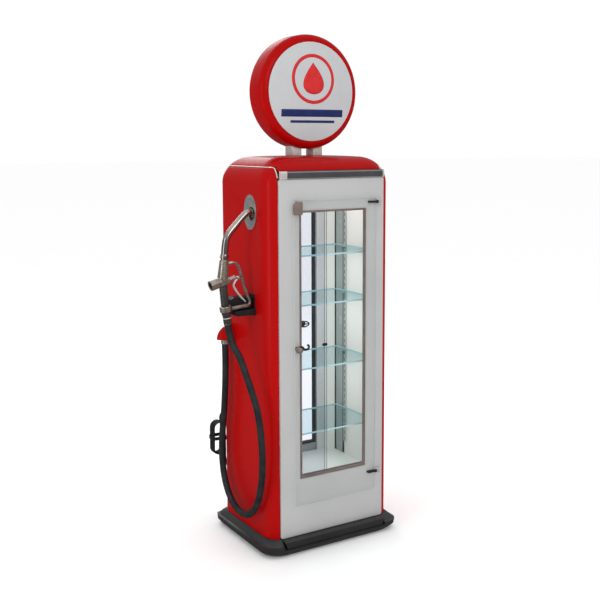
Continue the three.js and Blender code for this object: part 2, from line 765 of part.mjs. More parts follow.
function makeHolders() {
  const collar = alongCollar(0.4);
  const mid = alongCollar(10);
  const low = alongCollar(46);
  const nut = bar(at(collar), at(mid), 16.5, 16.5, 6);
  const stem = bar(at(mid), at(low), 14.5, 14, 20);
  add("hose_swivel", nut.add(stem), CHROME);

  // oval steel plate round the spout hole
  const oval = new THREE.CylinderGeometry(1, 1, 2.6, 36);
  oval.rotateZ(Math.PI / 2);
  oval.scale(1, 44, 62);
  oval.translate(-BX - GAP - 1.3, -65, 1219);
  const hole = bar([-300, SPOUT_HOLE.y, SPOUT_HOLE.z], [-240, SPOUT_HOLE.y, SPOUT_HOLE.z], 24, 24, 20);
  add("nozzle_plate", solid(oval).subtract(hole), STEEL);

  // black boot: an upright block with a ledge that the guard rests on
  const back = hull(
    [
      [-258.3, 862],
      [-258.3, 922],
      [-330, 926],
      [-343, 917],
      [-343, 874],
      [-333, 862],
    ].flatMap(([x, z]) => [BOOT_Y, BOOT_Y + 44].map((y) => new THREE.Vector3(x, y, z))),
  );
  const ledge = hull(
    [
      [-258.3, 862],
      [-258.3, 883],
      [-338, 880],
      [-333, 862],
    ].flatMap(([x, z]) => [BOOT_Y - 25, BOOT_Y + 4].map((y) => new THREE.Vector3(x, y, z))),
  );
  add("nozzle_boot", back.add(ledge), BLACK);

  // red half-dome hood over the hose outlet, open below
  const dome = new THREE.SphereGeometry(1, 24, 16);
  const domeOf = (rx, ry, rz) => solid(dome.clone().scale(rx, ry, rz)).translate([-BX - GAP, 92, 744]);
  const room = box(-400, -BX - GAP, 0, 200, 744, 900);
  const hood = domeOf(60, 29, 54).subtract(domeOf(56, 25, 50)).intersect(room);
  const elbow = bar([-286, 92, 768], [-286, 92, 745], 13, 13, 16);
  const neck = bar([-251, 92, 772], [-286, 92, 772], 9, 9, 14);
  const cap = bar([-286, 92, 768], [-286, 92, 790], 13, 9, 16);
  add("hose_hood", hood.add(elbow).add(neck).add(cap), RED);
}

const HOSE_ROUTE = [
  [-356, -88, 800],
  [-350, -98, 765],
  [-336, -123, 720],
  [-326, -148, 664],
  [-316, -173, 604],
  [-306, -189, 545],
  [-299, -196, 485],
  [-294, -198, 420],
  [-291, -196, 350],
  [-289, -184, 280],
  [-288, -160, 215],
  [-288, -122, 160],
  [-288, -72, 126],
  [-288, -18, 118],
  [-288, 34, 130],
  [-288, 78, 163],
  [-288, 109, 212],
  [-288, 124, 270],
  [-288, 127, 330],
  [-288, 119, 395],
  [-288, 106, 460],
  [-288, 96, 530],
  [-287, 91, 600],
  [-286, 91, 670],
  [-286, 92, 720],
  [-286, 92, 744.7],
];

function makeHose() {
  const route = [at(alongCollar(46.4)), at(alongCollar(60)), ...HOSE_ROUTE];
  add("hose", swept(route, HOSE_D / 2, HOSE_D / 2, 10, 64), RUBBER);
}

// ---- Mains lead, folded up and tied behind the left rear corner ----------------------------
const HANK = { x: -255, y: 231.5, z0: 262, z1: 395, wide: 52, deep: 45 };
const HANK_RUN = HANK.wide / 2 - LEAD_D / 2; // from the hank's middle to its runs
const HANK_END = HANK.deep / 2 - LEAD_D / 2; // from its middle to its first and last turn

function makeLead() {
  const [gx, gy, gz] = GLAND;
  const body = bar([gx, gy - 9, gz], [gx, gy + GAP, gz], 6, 6, 12);
  const flange = bar([gx, gy + GAP, gz], [gx, gy + 5, gz], 11, 10, 16);
  const taper = bar([gx, gy + 5, gz], [gx, gy + 27, gz], 7.5, 4.6, 12);
  add("lead_gland", body.add(flange).add(taper), BLACK);

  const drop = [
    [gx, gy + 27 + GAP, gz],
    [gx, gy + 38, gz],
    [gx - 1, gy + 52, gz - 3.5],
    [gx - 5.5, gy + 61, gz - 12.5],
    [gx - 14, gy + 64, gz - 23],
    [gx - 24, gy + 61.5, gz - 33],
    [gx - 31, HANK.y + HANK_END + 4, gz - 42.5],
    [gx - 32.5, HANK.y + HANK_END + 1, gz - 48.5],
  ];
  add("lead", swept(drop, LEAD_D / 2, LEAD_D / 2, 8, 14), RUBBER);

  const r = HANK.wide / 2;
  const outline = new THREE.Shape();
  outline.absarc(HANK.x, HANK.z1 - r, r, 0, Math.PI, false);
  outline.absarc(HANK.x, HANK.z0 + r, r, Math.PI, 2 * Math.PI, false);
  const hank = new THREE.ExtrudeGeometry(outline, {
    depth: HANK.deep,
    bevelEnabled: false,
    curveSegments: 10,
  });
  hank.rotateX(Math.PI / 2);
  hank.translate(0, HANK.y + HANK.deep / 2, 0);
  add("lead_hank", solid(hank), RUBBER);

  const tailX = HANK.x + HANK_RUN;
  const tailY = HANK.y - HANK_END;
  const plugX = HANK.x + 46;
  const plugZ = HANK.z0 - 118;
  const tail = [
    [tailX, tailY, HANK.z0 + 7],
    [tailX, tailY, HANK.z0 - 10],
    [tailX + 4, tailY, HANK.z0 - 34],
    [tailX + 14, tailY, HANK.z0 - 66],
    [plugX - 2, tailY, HANK.z0 - 96],
    [plugX, tailY, plugZ],
  ];
  add("lead_tail", swept(tail, LEAD_D / 2, LEAD_D / 2, 8, 10), RUBBER);

  const below = (distance, side = 0) => [plugX + side, tailY, plugZ - GAP - distance];
  const grip = bar(below(0), below(16), 5, 11, 12);
  const shell = bar(below(16), below(38), 11, 13, 16);
  const pins = [-6, 6].map((side) => bar(below(37, side), below(56, side), 2.2, 2.2, 8));
  add("lead_plug", pins.reduce((sum, p) => sum.add(p), grip.add(shell)), BLACK);

  const y0 = REAR.y1 + GAP;
  const plateBit = box(-214, -196, y0, y0 + 4, 318, 342);
  const tongue = box(HANK.x - 8, -196, y0 + 1, y0 + 6, 323, 337);
  add("lead_cleat", plateBit.add(tongue), BLACK);
}

makeBase();
makeShells();
makeFront();
makeDoor();
makeInterior();
makeBack();
makeGlobe();
makeNozzle();
makeHolders();
makeHose();
makeLead();

export default part;
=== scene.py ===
"""Finished surfaces, cords, light and camera for a display cabinet in the form of a retro fuel pump.

Metres, +Z up. The front faces -Y, and the nozzle and its hose hang on the -X side.
Places are written in millimetres, and mm(), side_point() and the mesh builders turn them into metres.
"""

import math

import bmesh
import bpy
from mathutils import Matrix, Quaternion, Vector


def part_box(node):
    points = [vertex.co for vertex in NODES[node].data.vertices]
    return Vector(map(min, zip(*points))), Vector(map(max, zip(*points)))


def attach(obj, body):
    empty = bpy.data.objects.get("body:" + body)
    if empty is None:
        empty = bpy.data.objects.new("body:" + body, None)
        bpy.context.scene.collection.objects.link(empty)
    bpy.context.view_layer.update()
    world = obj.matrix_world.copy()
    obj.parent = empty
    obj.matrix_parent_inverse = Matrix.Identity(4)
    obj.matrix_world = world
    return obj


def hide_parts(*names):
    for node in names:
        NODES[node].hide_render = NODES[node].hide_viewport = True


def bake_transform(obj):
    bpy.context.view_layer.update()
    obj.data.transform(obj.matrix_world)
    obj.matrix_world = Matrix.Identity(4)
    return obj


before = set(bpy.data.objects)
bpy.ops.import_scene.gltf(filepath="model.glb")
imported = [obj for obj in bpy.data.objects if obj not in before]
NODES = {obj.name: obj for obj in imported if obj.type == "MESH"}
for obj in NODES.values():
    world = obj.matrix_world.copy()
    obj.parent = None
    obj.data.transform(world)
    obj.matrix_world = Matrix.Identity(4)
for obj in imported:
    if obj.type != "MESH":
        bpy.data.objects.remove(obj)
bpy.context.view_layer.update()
MM = 0.001

# ---- Sizes in millimetres, as in the part --------------------------------------------------
BX, BY = 258, 196  # half width and half depth of the body
CORNER_R = 60
SHELL_EDGE = 219.5
LIP_EDGE = 216.3
SHOULDER_Z, SHOULDER_IN, SHOULDER_RISE = 1314, 84, 94
SEAM_LOW, SEAM_HIGH = 1373.8, 1377.7
HOOD_Z = 1412
GLOBE_Z, GLOBE_R, GLOBE_HALF, MOUTH_R = 1639, 202.5, 54, 175.5
LENS_R, LENS_BASE, LENS_BULGE = 175, 57.5, 14
NOZZLE_Y = -86
COLLAR_LOW, COLLAR_TOP = (-368, 880), (-371, 901)
CROSS, CROSS_END, SLEEVE_TOP = (-379, 988), (-426, 975), (-372, 1062)
TRIGGER_PIN = (-320, 996)
LATCH = (-150, 742)
RING_LATCH = (110, 742)
HOSE_D, LEAD_D = 24, 7
HANK_X, HANK_Y, HANK_LOW, HANK_HIGH = -255, 231.5, 262, 395
HANK_RUN, HANK_END = 22.5, 19
SHELL_THICK = 3
SPOUT_HOLE = (-79, 1214)  # its Y and Z in the left side
OUTLET = (-286, 92)  # X and Y of the hose's upright outlet
STUB_OUT = (-440, 971.3)  # a point past the stub's open end, on its axis

# Height in metres and power in watts of the small lights between the shelves
SHELF_LAMPS = ((1.29, 0.72), (1.05, 0.4), (0.87, 0.36), (0.64, 0.26), (0.42, 0.06))


def mm(*values):
    """A point given in millimetres, in metres."""
    return Vector(values) * MM


def side_point(xz, y=NOZZLE_Y):
    """A point of the nozzle's plane."""
    return Vector((xz[0], y, xz[1])) * MM


# ---- Paths ----------------------------------------------------------------------------------
def spline(points, per_span=8):
    """A centripetal Catmull-Rom curve through the points, as a list of points."""
    points = [Vector(p) for p in points]
    ends = [points[0] * 2 - points[1], *points, points[-1] * 2 - points[-2]]
    out = []
    for i in range(len(points) - 1):
        p = ends[i : i + 4]
        t = [0.0]
        for a, b in zip(p, p[1:]):
            t.append(t[-1] + max((b - a).length, 1e-9) ** 0.5)
        for k in range(per_span):
            s = t[1] + (t[2] - t[1]) * k / per_span
            a1, a2, a3 = (p[j].lerp(p[j + 1], (s - t[j]) / (t[j + 1] - t[j])) for j in range(3))
            b1 = a1.lerp(a2, (s - t[0]) / (t[2] - t[0]))
            b2 = a2.lerp(a3, (s - t[1]) / (t[3] - t[1]))
            out.append(b1.lerp(b2, (s - t[1]) / (t[2] - t[1])))
    return [*out, points[-1]]


def turns(count):
    """Angles spaced evenly round a full turn."""
    return [2 * math.pi * k / count for k in range(count)]


def tangent_at(path, i):
    return (path[min(i + 1, len(path) - 1)] - path[max(i - 1, 0)]).normalized()


def frames_along(path):
    """A turn-free frame at each point of a path: point, side direction, other side direction."""
    tangents = [tangent_at(path, i) for i in range(len(path))]
    side = tangents[0].orthogonal().normalized()
    out = []
    for point, tangent in zip(path, tangents):
        side = (side - tangent * side.dot(tangent)).normalized()
        out.append((point, side, tangent.cross(side)))
    return out


# ---- Mesh builders --------------------------------------------------------------------------
def linked(name, bm):
    """Turns a bmesh into an object of the scene, closed up and facing outwards."""
    bmesh.ops.remove_doubles(bm, verts=bm.verts, dist=1e-7)
    bmesh.ops.recalc_face_normals(bm, faces=bm.faces)
    mesh = bpy.data.meshes.new(name)
    bm.to_mesh(mesh)
    bm.free()
    made = bpy.data.objects.new(name, mesh)
    bpy.context.collection.objects.link(made)
    return made


def piece(name, bm, material, body, replaced=(), sharp=35, modifiers=()):
    """Makes a piece of a bmesh: smooth but for its sharp edges, with its finish, riding on a body."""
    made = linked(name, bm)
    made.data.shade_smooth()
    made.data.set_sharp_from_angle(angle=math.radians(sharp))
    made.data.materials.append(material)
    for kind, settings in modifiers:
        modifier = made.modifiers.new(kind.lower(), kind)
        for key, value in settings.items():
            setattr(modifier, key, value)
    if body:
        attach(made, body)
    if replaced:
        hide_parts(*replaced)
    return made


def bevel(width_mm, segments=2, angle=40):
    """The name and settings of a modifier that eases edges."""
    settings = {"width": width_mm * MM, "segments": segments, "angle_limit": math.radians(angle)}
    return "BEVEL", {**settings, "harden_normals": True}


def add_cut(made, cutter):
    cut = made.modifiers.new("cut", "BOOLEAN")
    cut.object = cutter
    cut.solver = "EXACT"


def apply_modifiers(made):
    """Writes the modifiers' result into a new smooth mesh, and returns that mesh."""
    graph = bpy.context.evaluated_depsgraph_get()
    mesh = bpy.data.meshes.new_from_object(made.evaluated_get(graph))
    made.modifiers.clear()
    made.data = mesh
    mesh.shade_smooth()
    return mesh


def add_grid(bm, rows, ring=True, caps=False, keep=None):
    """Adds a surface through rows of points.

    A ring's rows close on themselves, and keep(row, column) says which faces are made.
    """
    made = [[bm.verts.new(p) for p in row] for row in rows]
    count = len(rows[0])
    for r in range(len(made) - 1):
        for c in range(count if ring else count - 1):
            if keep and not keep(r, c):
                continue
            d = (c + 1) % count
            bm.faces.new((made[r][c], made[r][d], made[r + 1][d], made[r + 1][c]))
    if caps:
        bm.faces.new(made[0])
        bm.faces.new(made[-1])
    return made


def add_tube(bm, path, radius, sides=16):
    """Adds a closed tube. radius, in mm, is a number or a function of the share of the way along."""
    size = radius if callable(radius) else lambda share: radius
    rows = []
    for i, (point, u, v) in enumerate(frames_along(path)):
        r = size(i / (len(path) - 1)) * MM
        rows.append([point + (u * math.cos(t) + v * math.sin(t)) * r for t in turns(sides)])
    add_grid(bm, rows, caps=True)


def add_strap(bm, path, sides, half_sizes, roundness=1.0):
    """Adds a flat bar along a path in an XZ plane.

    half_sizes(share) gives half its depth along Y and half its height across the path, in mm.
    roundness is 1 for an oval section and less for a squarer one.
    """
    depth_way = Vector((0, 1, 0))
    rows = []
    for i, point in enumerate(path):
        across = tangent_at(path, i).cross(depth_way)
        deep, high = half_sizes(i / (len(path) - 1))
        ring = []
        for t in turns(sides):
            c, s = math.cos(t), math.sin(t)
            y = math.copysign(abs(c) ** roundness, c) * deep
            z = math.copysign(abs(s) ** roundness, s) * high
            ring.append(point + depth_way * y * MM + across * z * MM)
        rows.append(ring)
    add_grid(bm, rows, caps=True)


def add_lathe(bm, profile, start, end, segments=48, closed=False):
    """Adds a body turned about the line from start to end.

    The profile is (radius, distance along) in mm, and a closed one is a ring's section.
    """
    axis = (end - start).normalized()
    u = axis.orthogonal().normalized()
    v = axis.cross(u)
    rows = []
    for radius, along in [*profile, profile[0]] if closed else profile:
        middle = start + axis * along * MM
        rows.append([middle + (u * math.cos(t) + v * math.sin(t)) * radius * MM for t in turns(segments)])
    add_grid(bm, rows)


def add_bar(bm, a, b, r0, r1=None, segments=32, edge=0.8):
    """Adds a round bar with eased ends between two points, with its radius in mm."""
    r1 = r0 if r1 is None else r1
    span = (b - a).length / MM
    profile = [(0, 0), (r0 - edge, 0), (r0, edge), (r1, span - edge), (r1 - edge, span), (0, span)]
    add_lathe(bm, profile, a, b, segments)


def add_prism(bm, outline, offset):
    """Adds a prism: an outline of points and the vector it is drawn out along."""
    low = [bm.verts.new(p) for p in outline]
    high = [bm.verts.new(Vector(p) + offset) for p in outline]
    bm.faces.new(low)
    bm.faces.new(high)
    for i in range(len(low)):
        j = (i + 1) % len(low)
        bm.faces.new((low[i], low[j], high[j], high[i]))


def add_screw(bm, place, axis, radius=4.0):
    """Adds a cross-head screw's pan head: a low dome with a sunk middle."""
    axis = Vector(axis)
    profile = [(0, 0.9), (radius * 0.3, 0.8), (radius * 0.42, 1.9), (radius * 0.72, 1.7), (radius, 0.7)]
    add_lathe(bm, [*profile, (radius, -0.2)], place, place + axis, 20)


# ---- Materials ------------------------------------------------------------------------------
def material(name, color, roughness, metallic=0.0, **sockets):
    """A Principled material. Constant values sit on the shader's own sockets."""
    made = bpy.data.materials.new(name)
    made.use_nodes = True
    shader = made.node_tree.nodes["Principled BSDF"]
    shader.inputs["Base Color"].default_value = (*color, 1)
    shader.inputs["Roughness"].default_value = roughness
    shader.inputs["Metallic"].default_value = metallic
    for key, value in sockets.items():
        shader.inputs[key.replace("_", " ")].default_value = value
    return made


def node(made, kind, links=(), **settings):
    """Adds a shader node, with links as (input name, output socket) and settings as input values."""
    n = made.node_tree.nodes.new(kind)
    for key, value in settings.items():
        key = key.replace("_", " ")
        if key in n.inputs:
            n.inputs[key].default_value = value
        else:
            setattr(n, key.replace(" ", "_"), value)
    for key, output in links:
        made.node_tree.links.new(output, n.inputs[key])
    return n


def place_of(made, stretch=(1, 1, 1)):
    """The place on the object, in metres, stretched for drawn-out patterns."""
    where = node(made, "ShaderNodeTexCoord")
    mapping = node(made, "ShaderNodeMapping", [("Vector", where.outputs["Object"])], Scale=stretch)
    return mapping.outputs["Vector"]


def noise(made, scale, detail=3.0, stretch=(1, 1, 1)):
    links = [("Vector", place_of(made, stretch))]
    return node(made, "ShaderNodeTexNoise", links, Scale=scale, Detail=detail).outputs["Fac"]


def ramp(made, value, low, high, start=0.3, end=0.7):
    """Turns a 0 to 1 value into a number between low and high."""
    limits = {"From_Min": start, "From_Max": end, "To_Min": low, "To_Max": high}
    return node(made, "ShaderNodeMapRange", [("Value", value)], **limits).outputs["Result"]


def tint(made, value, dark, light):
    """Colours the surface between two colours by a 0 to 1 value."""
    mix = node(made, "ShaderNodeMix", [("Factor", value)], data_type="RGBA")
    mix.inputs[6].default_value = (*dark, 1)
    mix.inputs[7].default_value = (*light, 1)
    shader = made.node_tree.nodes["Principled BSDF"]
    made.node_tree.links.new(mix.outputs[2], shader.inputs["Base Color"])


def drive(made, socket, value):
    shader = made.node_tree.nodes["Principled BSDF"]
    made.node_tree.links.new(value, shader.inputs[socket])


def bump(made, height, strength, distance_mm):
    n = node(made, "ShaderNodeBump", [("Height", height)], Strength=strength, Distance=distance_mm * MM)
    drive(made, "Normal", n.outputs["Normal"])


def enamel(name, dark, light):
    """Sprayed enamel: faint orange peel, and a slight clouding of the gloss."""
    made = material(name, light, 0.3, Specular_IOR_Level=0.06, Coat_Weight=0.03, Coat_Roughness=0.1)
    tint(made, ramp(made, noise(made, 3.0), 0, 1), dark, light)
    drive(made, "Roughness", ramp(made, noise(made, 7.0, 4.0), 0.26, 0.33))
    bump(made, noise(made, 420.0, 2.0), 0.06, 0.4)
    return made


def satin_paint(name, dark, light, roughness=0.42, grain=600.0, strength=0.08):
    """Powder coat: fine grain, and a gloss that varies over a hand's width."""
    made = material(name, light, roughness)
    tint(made, ramp(made, noise(made, 5.0, 4.0), 0, 1), dark, light)
    drive(made, "Roughness", ramp(made, noise(made, 11.0, 5.0), roughness - 0.06, roughness + 0.08))
    bump(made, noise(made, grain, 2.0), strength, 0.3)
    return made


def bright_metal(name, dark, light, low, high, stretch=(1, 1, 1), strength=0.04, amount=1.0):
    """Plated or polished metal: fine drawn lines, and smears that change the gloss between low and high."""
    made = material(name, light, low, amount)
    tint(made, ramp(made, noise(made, 22.0, 4.0), 0, 1), dark, light)
    drive(made, "Roughness", ramp(made, noise(made, 60.0, 6.0, stretch), low, high))
    bump(made, noise(made, 300.0, 3.0, stretch), strength, 0.15)
    return made


def cast_metal():
    """Sand-cast alloy, tumbled: a grainy skin, brighter where hands have rubbed it. Its warm brown tint is
    a painted reflection of brown surroundings.
    """
    made = material("cast_alloy", (0.30, 0.275, 0.25), 0.3, 0.85)
    tint(made, ramp(made, noise(made, 45.0, 5.0), 0, 1), (0.28, 0.235, 0.20), (0.50, 0.44, 0.38))
    drive(made, "Roughness", ramp(made, noise(made, 120.0, 4.0), 0.2, 0.36))
    bump(made, noise(made, 900.0, 4.0), 0.16, 0.3)
    return made


def rubber(name, dark, light):
    """Extruded rubber: a dull skin with faint lines and a chalky bloom in patches."""
    made = material(name, light, 0.55, Specular_IOR_Level=0.3)
    tint(made, ramp(made, noise(made, 30.0, 6.0), 0, 1, 0.35, 0.75), dark, light)
    drive(made, "Roughness", ramp(made, noise(made, 18.0, 5.0), 0.42, 0.68))
    bump(made, noise(made, 1500.0, 3.0), 0.2, 0.3)
    return made


def moulded_plastic(name, dark, light, roughness=0.45):
    """Moulded plastic with a spark-eroded grain."""
    made = material(name, light, roughness, Specular_IOR_Level=0.25)
    tint(made, ramp(made, noise(made, 40.0), 0, 1), dark, light)
    drive(made, "Roughness", ramp(made, noise(made, 25.0, 4.0), roughness - 0.05, roughness + 0.1))
    bump(made, noise(made, 2200.0, 2.0), 0.25, 0.2)
    return made


def opal_material():
    """Opal acrylic: a soft white that lets a little light in, with a smooth moulded skin."""
    made = material("opal", (0.53, 0.535, 0.545), 0.2)
    tint(made, ramp(made, noise(made, 6.0), 0, 1), (0.44, 0.445, 0.455), (0.495, 0.50, 0.51))
    drive(made, "Roughness", ramp(made, noise(made, 30.0, 4.0), 0.18, 0.27))
    bump(made, noise(made, 90.0, 2.0), 0.03, 0.3)
    return made


def glass(name, face, edge, axis, mirror=0.5):
    """Sheet glass. Its faces let light through with a tint, and its edges show their own colour."""
    made = bpy.data.materials.new(name)
    made.use_nodes = True
    tree = made.node_tree
    edges = tree.nodes["Principled BSDF"]
    edges.inputs["Base Color"].default_value = (*edge, 1)
    wavy = noise(made, 35.0, 2.0, (1, 1, 0.4))
    tree.links.new(ramp(made, wavy, 0.08, 0.2), edges.inputs["Roughness"])

    normal = node(made, "ShaderNodeTexCoord").outputs["Normal"]
    facing = node(made, "ShaderNodeVectorMath", [(0, normal)], operation="DOT_PRODUCT")
    facing.inputs[1].default_value = axis
    size = node(made, "ShaderNodeMath", [(0, facing.outputs["Value"])], operation="ABSOLUTE")
    on_face = node(made, "ShaderNodeMath", [(0, size.outputs[0])], operation="GREATER_THAN")
    on_face.inputs[1].default_value = 0.6

    clear = node(made, "ShaderNodeBsdfTransparent", Color=(*face, 1))
    gloss = node(made, "ShaderNodeBsdfGlossy", Roughness=0.02, Color=(0.95, 0.97, 1, 1))
    angle = node(made, "ShaderNodeLayerWeight", Blend=0.5)
    steep = node(made, "ShaderNodeMath", [(0, angle.outputs["Facing"])], operation="POWER")
    steep.inputs[1].default_value = 4
    share = ramp(made, steep.outputs[0], 0.03, mirror, 0, 1)
    sheet = node(made, "ShaderNodeMixShader", [(0, share)])
    tree.links.new(clear.outputs[0], sheet.inputs[1])
    tree.links.new(gloss.outputs[0], sheet.inputs[2])
    both = node(made, "ShaderNodeMixShader", [(0, on_face.outputs[0])])
    tree.links.new(edges.outputs[0], both.inputs[1])
    tree.links.new(sheet.outputs[0], both.inputs[2])
    tree.links.new(both.outputs[0], tree.nodes["Material Output"].inputs["Surface"])
    return made


def upright_material(name, middle):
    """Slotted shelf upright: pale steel with a row of dark slots every 25 mm down its middle."""
    made = bright_metal(name, (0.50, 0.51, 0.50), (0.60, 0.61, 0.60), 0.3, 0.42, amount=0.4)

    def step(operation, source, value):
        n = node(made, "ShaderNodeMath", [(0, source)], operation=operation)
        n.inputs[1].default_value = value
        return n.outputs[0]

    where = node(made, "ShaderNodeTexCoord").outputs["Object"]
    apart = node(made, "ShaderNodeSeparateXYZ", [("Vector", where)])
    along = step("LESS_THAN", step("FRACT", step("MULTIPLY", apart.outputs["Z"], 40.0), 0), 0.5)
    across = step("LESS_THAN", step("ABSOLUTE", step("SUBTRACT", apart.outputs["Y"], middle), 0), 0.0022)
    both = node(made, "ShaderNodeMath", [(0, along), (1, across)], operation="MULTIPLY")
    tint(made, both.outputs[0], (0.55, 0.56, 0.55), (0.10, 0.10, 0.10))
    return made


RED = enamel("red_enamel", (0.345, 0.002, 0.0018), (0.39, 0.0024, 0.0022))
GLOBE_RED = enamel("globe_red", (0.33, 0.0006, 0.0008), (0.375, 0.0008, 0.001))
GREY = satin_paint("panel_grey", (0.405, 0.41, 0.405), (0.44, 0.445, 0.44), 0.36)
BASE_BLACK = satin_paint(
    "base_black", (0.014, 0.0135, 0.0145), (0.021, 0.020, 0.0215), 0.48, 380.0, 0.2
)
LINING = satin_paint("lining_white", (0.82, 0.785, 0.745), (0.86, 0.825, 0.785), 0.5)
CHROME = bright_metal("trim_chrome", (0.70, 0.71, 0.74), (0.82, 0.83, 0.85), 0.06, 0.14)
# Painted reflection: the fluted bar's chrome is coloured dark grey, the dark room it reflects painted into
# its colour
HEADER = bright_metal(
    "header_chrome", (0.34, 0.34, 0.345), (0.42, 0.42, 0.42), 0.12, 0.2, (0.02, 1, 1), 0.06
)
SPOUT_STEEL = bright_metal("spout_steel", (0.33, 0.305, 0.275), (0.46, 0.43, 0.395), 0.12, 0.24)
PLATE_STEEL = bright_metal(
    "plate_steel", (0.30, 0.31, 0.285), (0.40, 0.405, 0.375), 0.24, 0.36, (1, 1, 0.05), amount=0.6
)
LUG_STEEL = bright_metal(
    "lug_steel", (0.62, 0.60, 0.55), (0.74, 0.72, 0.67), 0.25, 0.38, amount=0.35
)
BEAD = bright_metal("bead_chrome", (0.72, 0.70, 0.66), (0.84, 0.82, 0.78), 0.1, 0.18, amount=0.6)
WIRE = bright_metal("trigger_alloy", (0.60, 0.66, 0.66), (0.74, 0.80, 0.80), 0.18, 0.3, amount=0.6)
DARK_STEEL = bright_metal(
    "grip_steel", (0.075, 0.076, 0.068), (0.13, 0.13, 0.115), 0.2, 0.34, amount=0.8
)
# Painted reflection: bright metal trim coloured brown, the brown surroundings it reflects painted into its
# colour
BROWN_REFLECTION_METAL = bright_metal(
    "frame_bronze", (0.23, 0.165, 0.145), (0.29, 0.215, 0.19), 0.34, 0.46, amount=0.5
)
BRASS = bright_metal("pin_brass", (0.55, 0.40, 0.16), (0.66, 0.50, 0.22), 0.18, 0.3)
CAST = cast_metal()
RUBBER = rubber("hose_rubber", (0.009, 0.011, 0.013), (0.021, 0.024, 0.027))
LEAD_RUBBER = rubber("lead_rubber", (0.008, 0.008, 0.009), (0.016, 0.016, 0.017))
HINGE_BLACK = satin_paint(
    "hinge_black", (0.010, 0.010, 0.010), (0.018, 0.017, 0.016), 0.42, 900.0, 0.12
)
PLASTIC = moulded_plastic("black_plastic", (0.009, 0.009, 0.010), (0.016, 0.016, 0.017))
REAR_BLACK = satin_paint(
    "rear_frame", (0.012, 0.012, 0.013), (0.02, 0.02, 0.021), 0.38, 900.0, 0.05
)
# Painted shade: the grey-green of the strips on the linings' rear corners, where the walls are in shade
CORNER_SHADE_PAINT = satin_paint("corner_painted_shade", (0.30, 0.335, 0.32), (0.36, 0.40, 0.385), 0.2)
OPAL = opal_material()
EMBLEM_RED = moulded_plastic("emblem_red", (0.50, 0.012, 0.014), (0.58, 0.02, 0.022), 0.35)
EMBLEM_BLUE = moulded_plastic("emblem_blue", (0.010, 0.016, 0.09), (0.014, 0.022, 0.12), 0.35)
DOOR_GLASS = glass("door_glass", (0.995, 0.998, 0.998), (0.55, 0.58, 0.575), (0, 1, 0))
PANE_GLASS = glass("pane_glass", (0.915, 0.93, 0.965), (0.12, 0.17, 0.19), (0, 1, 0))
SHELF_GLASS = glass("shelf_glass", (0.87, 0.955, 0.965), (0.46, 0.68, 0.70), (0, 0, 1), 0.12)


# ---- Camera ---------------------------------------------------------------------------------
def make_camera():
    """A short telephoto view from in front, on the nozzle's side."""
    data = bpy.data.cameras.new("camera")
    data.sensor_width = 36
    data.lens = 56.54
    data.shift_x = -0.026
    data.shift_y = -0.055
    turn, pitch, roll = (math.radians(a) for a in (31.846, -7.645, -0.146))
    level = math.cos(pitch)
    ahead = Vector((math.sin(turn) * level, math.cos(turn) * level, math.sin(pitch)))
    camera = bpy.data.objects.new("camera", data)
    camera.rotation_mode = "QUATERNION"
    camera.rotation_quaternion = ahead.to_track_quat("-Z", "Y") @ Quaternion((0, 0, 1), roll)
    camera.location = (-1.7954, -2.9707, 1.466)
    bpy.context.collection.objects.link(camera)
    bpy.context.scene.camera = camera


# ---- Cords ----------------------------------------------------------------------------------
def along_collar(distance):
    """A point on the swivel's axis, this far below the collar, in mm."""
    axis = Vector((COLLAR_LOW[0] - COLLAR_TOP[0], COLLAR_LOW[1] - COLLAR_TOP[1])).normalized()
    return (COLLAR_LOW[0] + axis.x * distance, COLLAR_LOW[1] + axis.y * distance)


HOSE_ROUTE = [
    (-356, -88, 800),
    (-350, -98, 765),
    (-336, -123, 720),
    (-326, -148, 664),
    (-316, -173, 604),
    (-306, -189, 545),
    (-299, -196, 485),
    (-294, -198, 420),
    (-291, -196, 350),
    (-289, -184, 280),
    (-288, -160, 215),
    (-288, -122, 160),
    (-288, -72, 126),
    (-288, -18, 118),
    (-288, 34, 130),
    (-288, 78, 163),
    (-288, 109, 212),
    (-288, 124, 270),
    (-288, 127, 330),
    (-288, 119, 395),
    (-288, 106, 460),
    (-288, 96, 530),
    (-287, 91, 600),
    (-286, 91, 670),
    (-286, 92, 720),
    (-286, 92, 744.7),
]


def make_hose():
    """The pump's hose, from the swivel down in a long loop and up to its outlet."""
    top = [side_point(along_collar(46.4)), side_point(along_collar(60))]
    path = spline([*top, *(mm(*p) for p in HOSE_ROUTE)], 6)
    bm = bmesh.new()
    add_tube(bm, path, HOSE_D / 2, 24)
    hose = piece("pump_hose", bm, RUBBER, None)
    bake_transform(hose)
    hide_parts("hose")


LEAD_EXIT = [
    (-203, 225.3, 440),
    (-203, 236, 440),
    (-204, 250, 436.5),
    (-208.5, 259, 427.5),
    (-217, 262, 417),
    (-227, 259.5, 407),
    (-232.5, 255.5, 397),
    (-233, 252, 387),
]
LEAD_TAIL = [
    (-232.5, 212.5, 252),
    (-228.5, 212.5, 228),
    (-218.5, 212.5, 196),
    (-211, 212.5, 166),
    (-209, 212.5, 144),
]


def hank_turns(turns=5, steps=10):
    """The folded part of the lead: upright racetrack turns side by side, from its back to its front."""
    low = HANK_LOW + LEAD_D / 2 + HANK_RUN
    high = HANK_HIGH - LEAD_D / 2 - HANK_RUN
    bend = [(math.cos(math.pi * i / steps), math.sin(math.pi * i / steps)) for i in range(steps)]
    loop = [(HANK_RUN, high - (high - low) * i / 5) for i in range(5)]
    loop += [(HANK_RUN * c, low - HANK_RUN * s) for c, s in bend]
    loop += [(-HANK_RUN, low + (high - low) * i / 5) for i in range(5)]
    loop += [(-HANK_RUN * c, high + HANK_RUN * s) for c, s in bend]
    route = loop * turns + loop[:6]
    back, front = HANK_Y + HANK_END, HANK_Y - HANK_END
    share = (front - back) / (len(route) - 1)
    return [(HANK_X + x, back + share * i, z) for i, (x, z) in enumerate(route)]


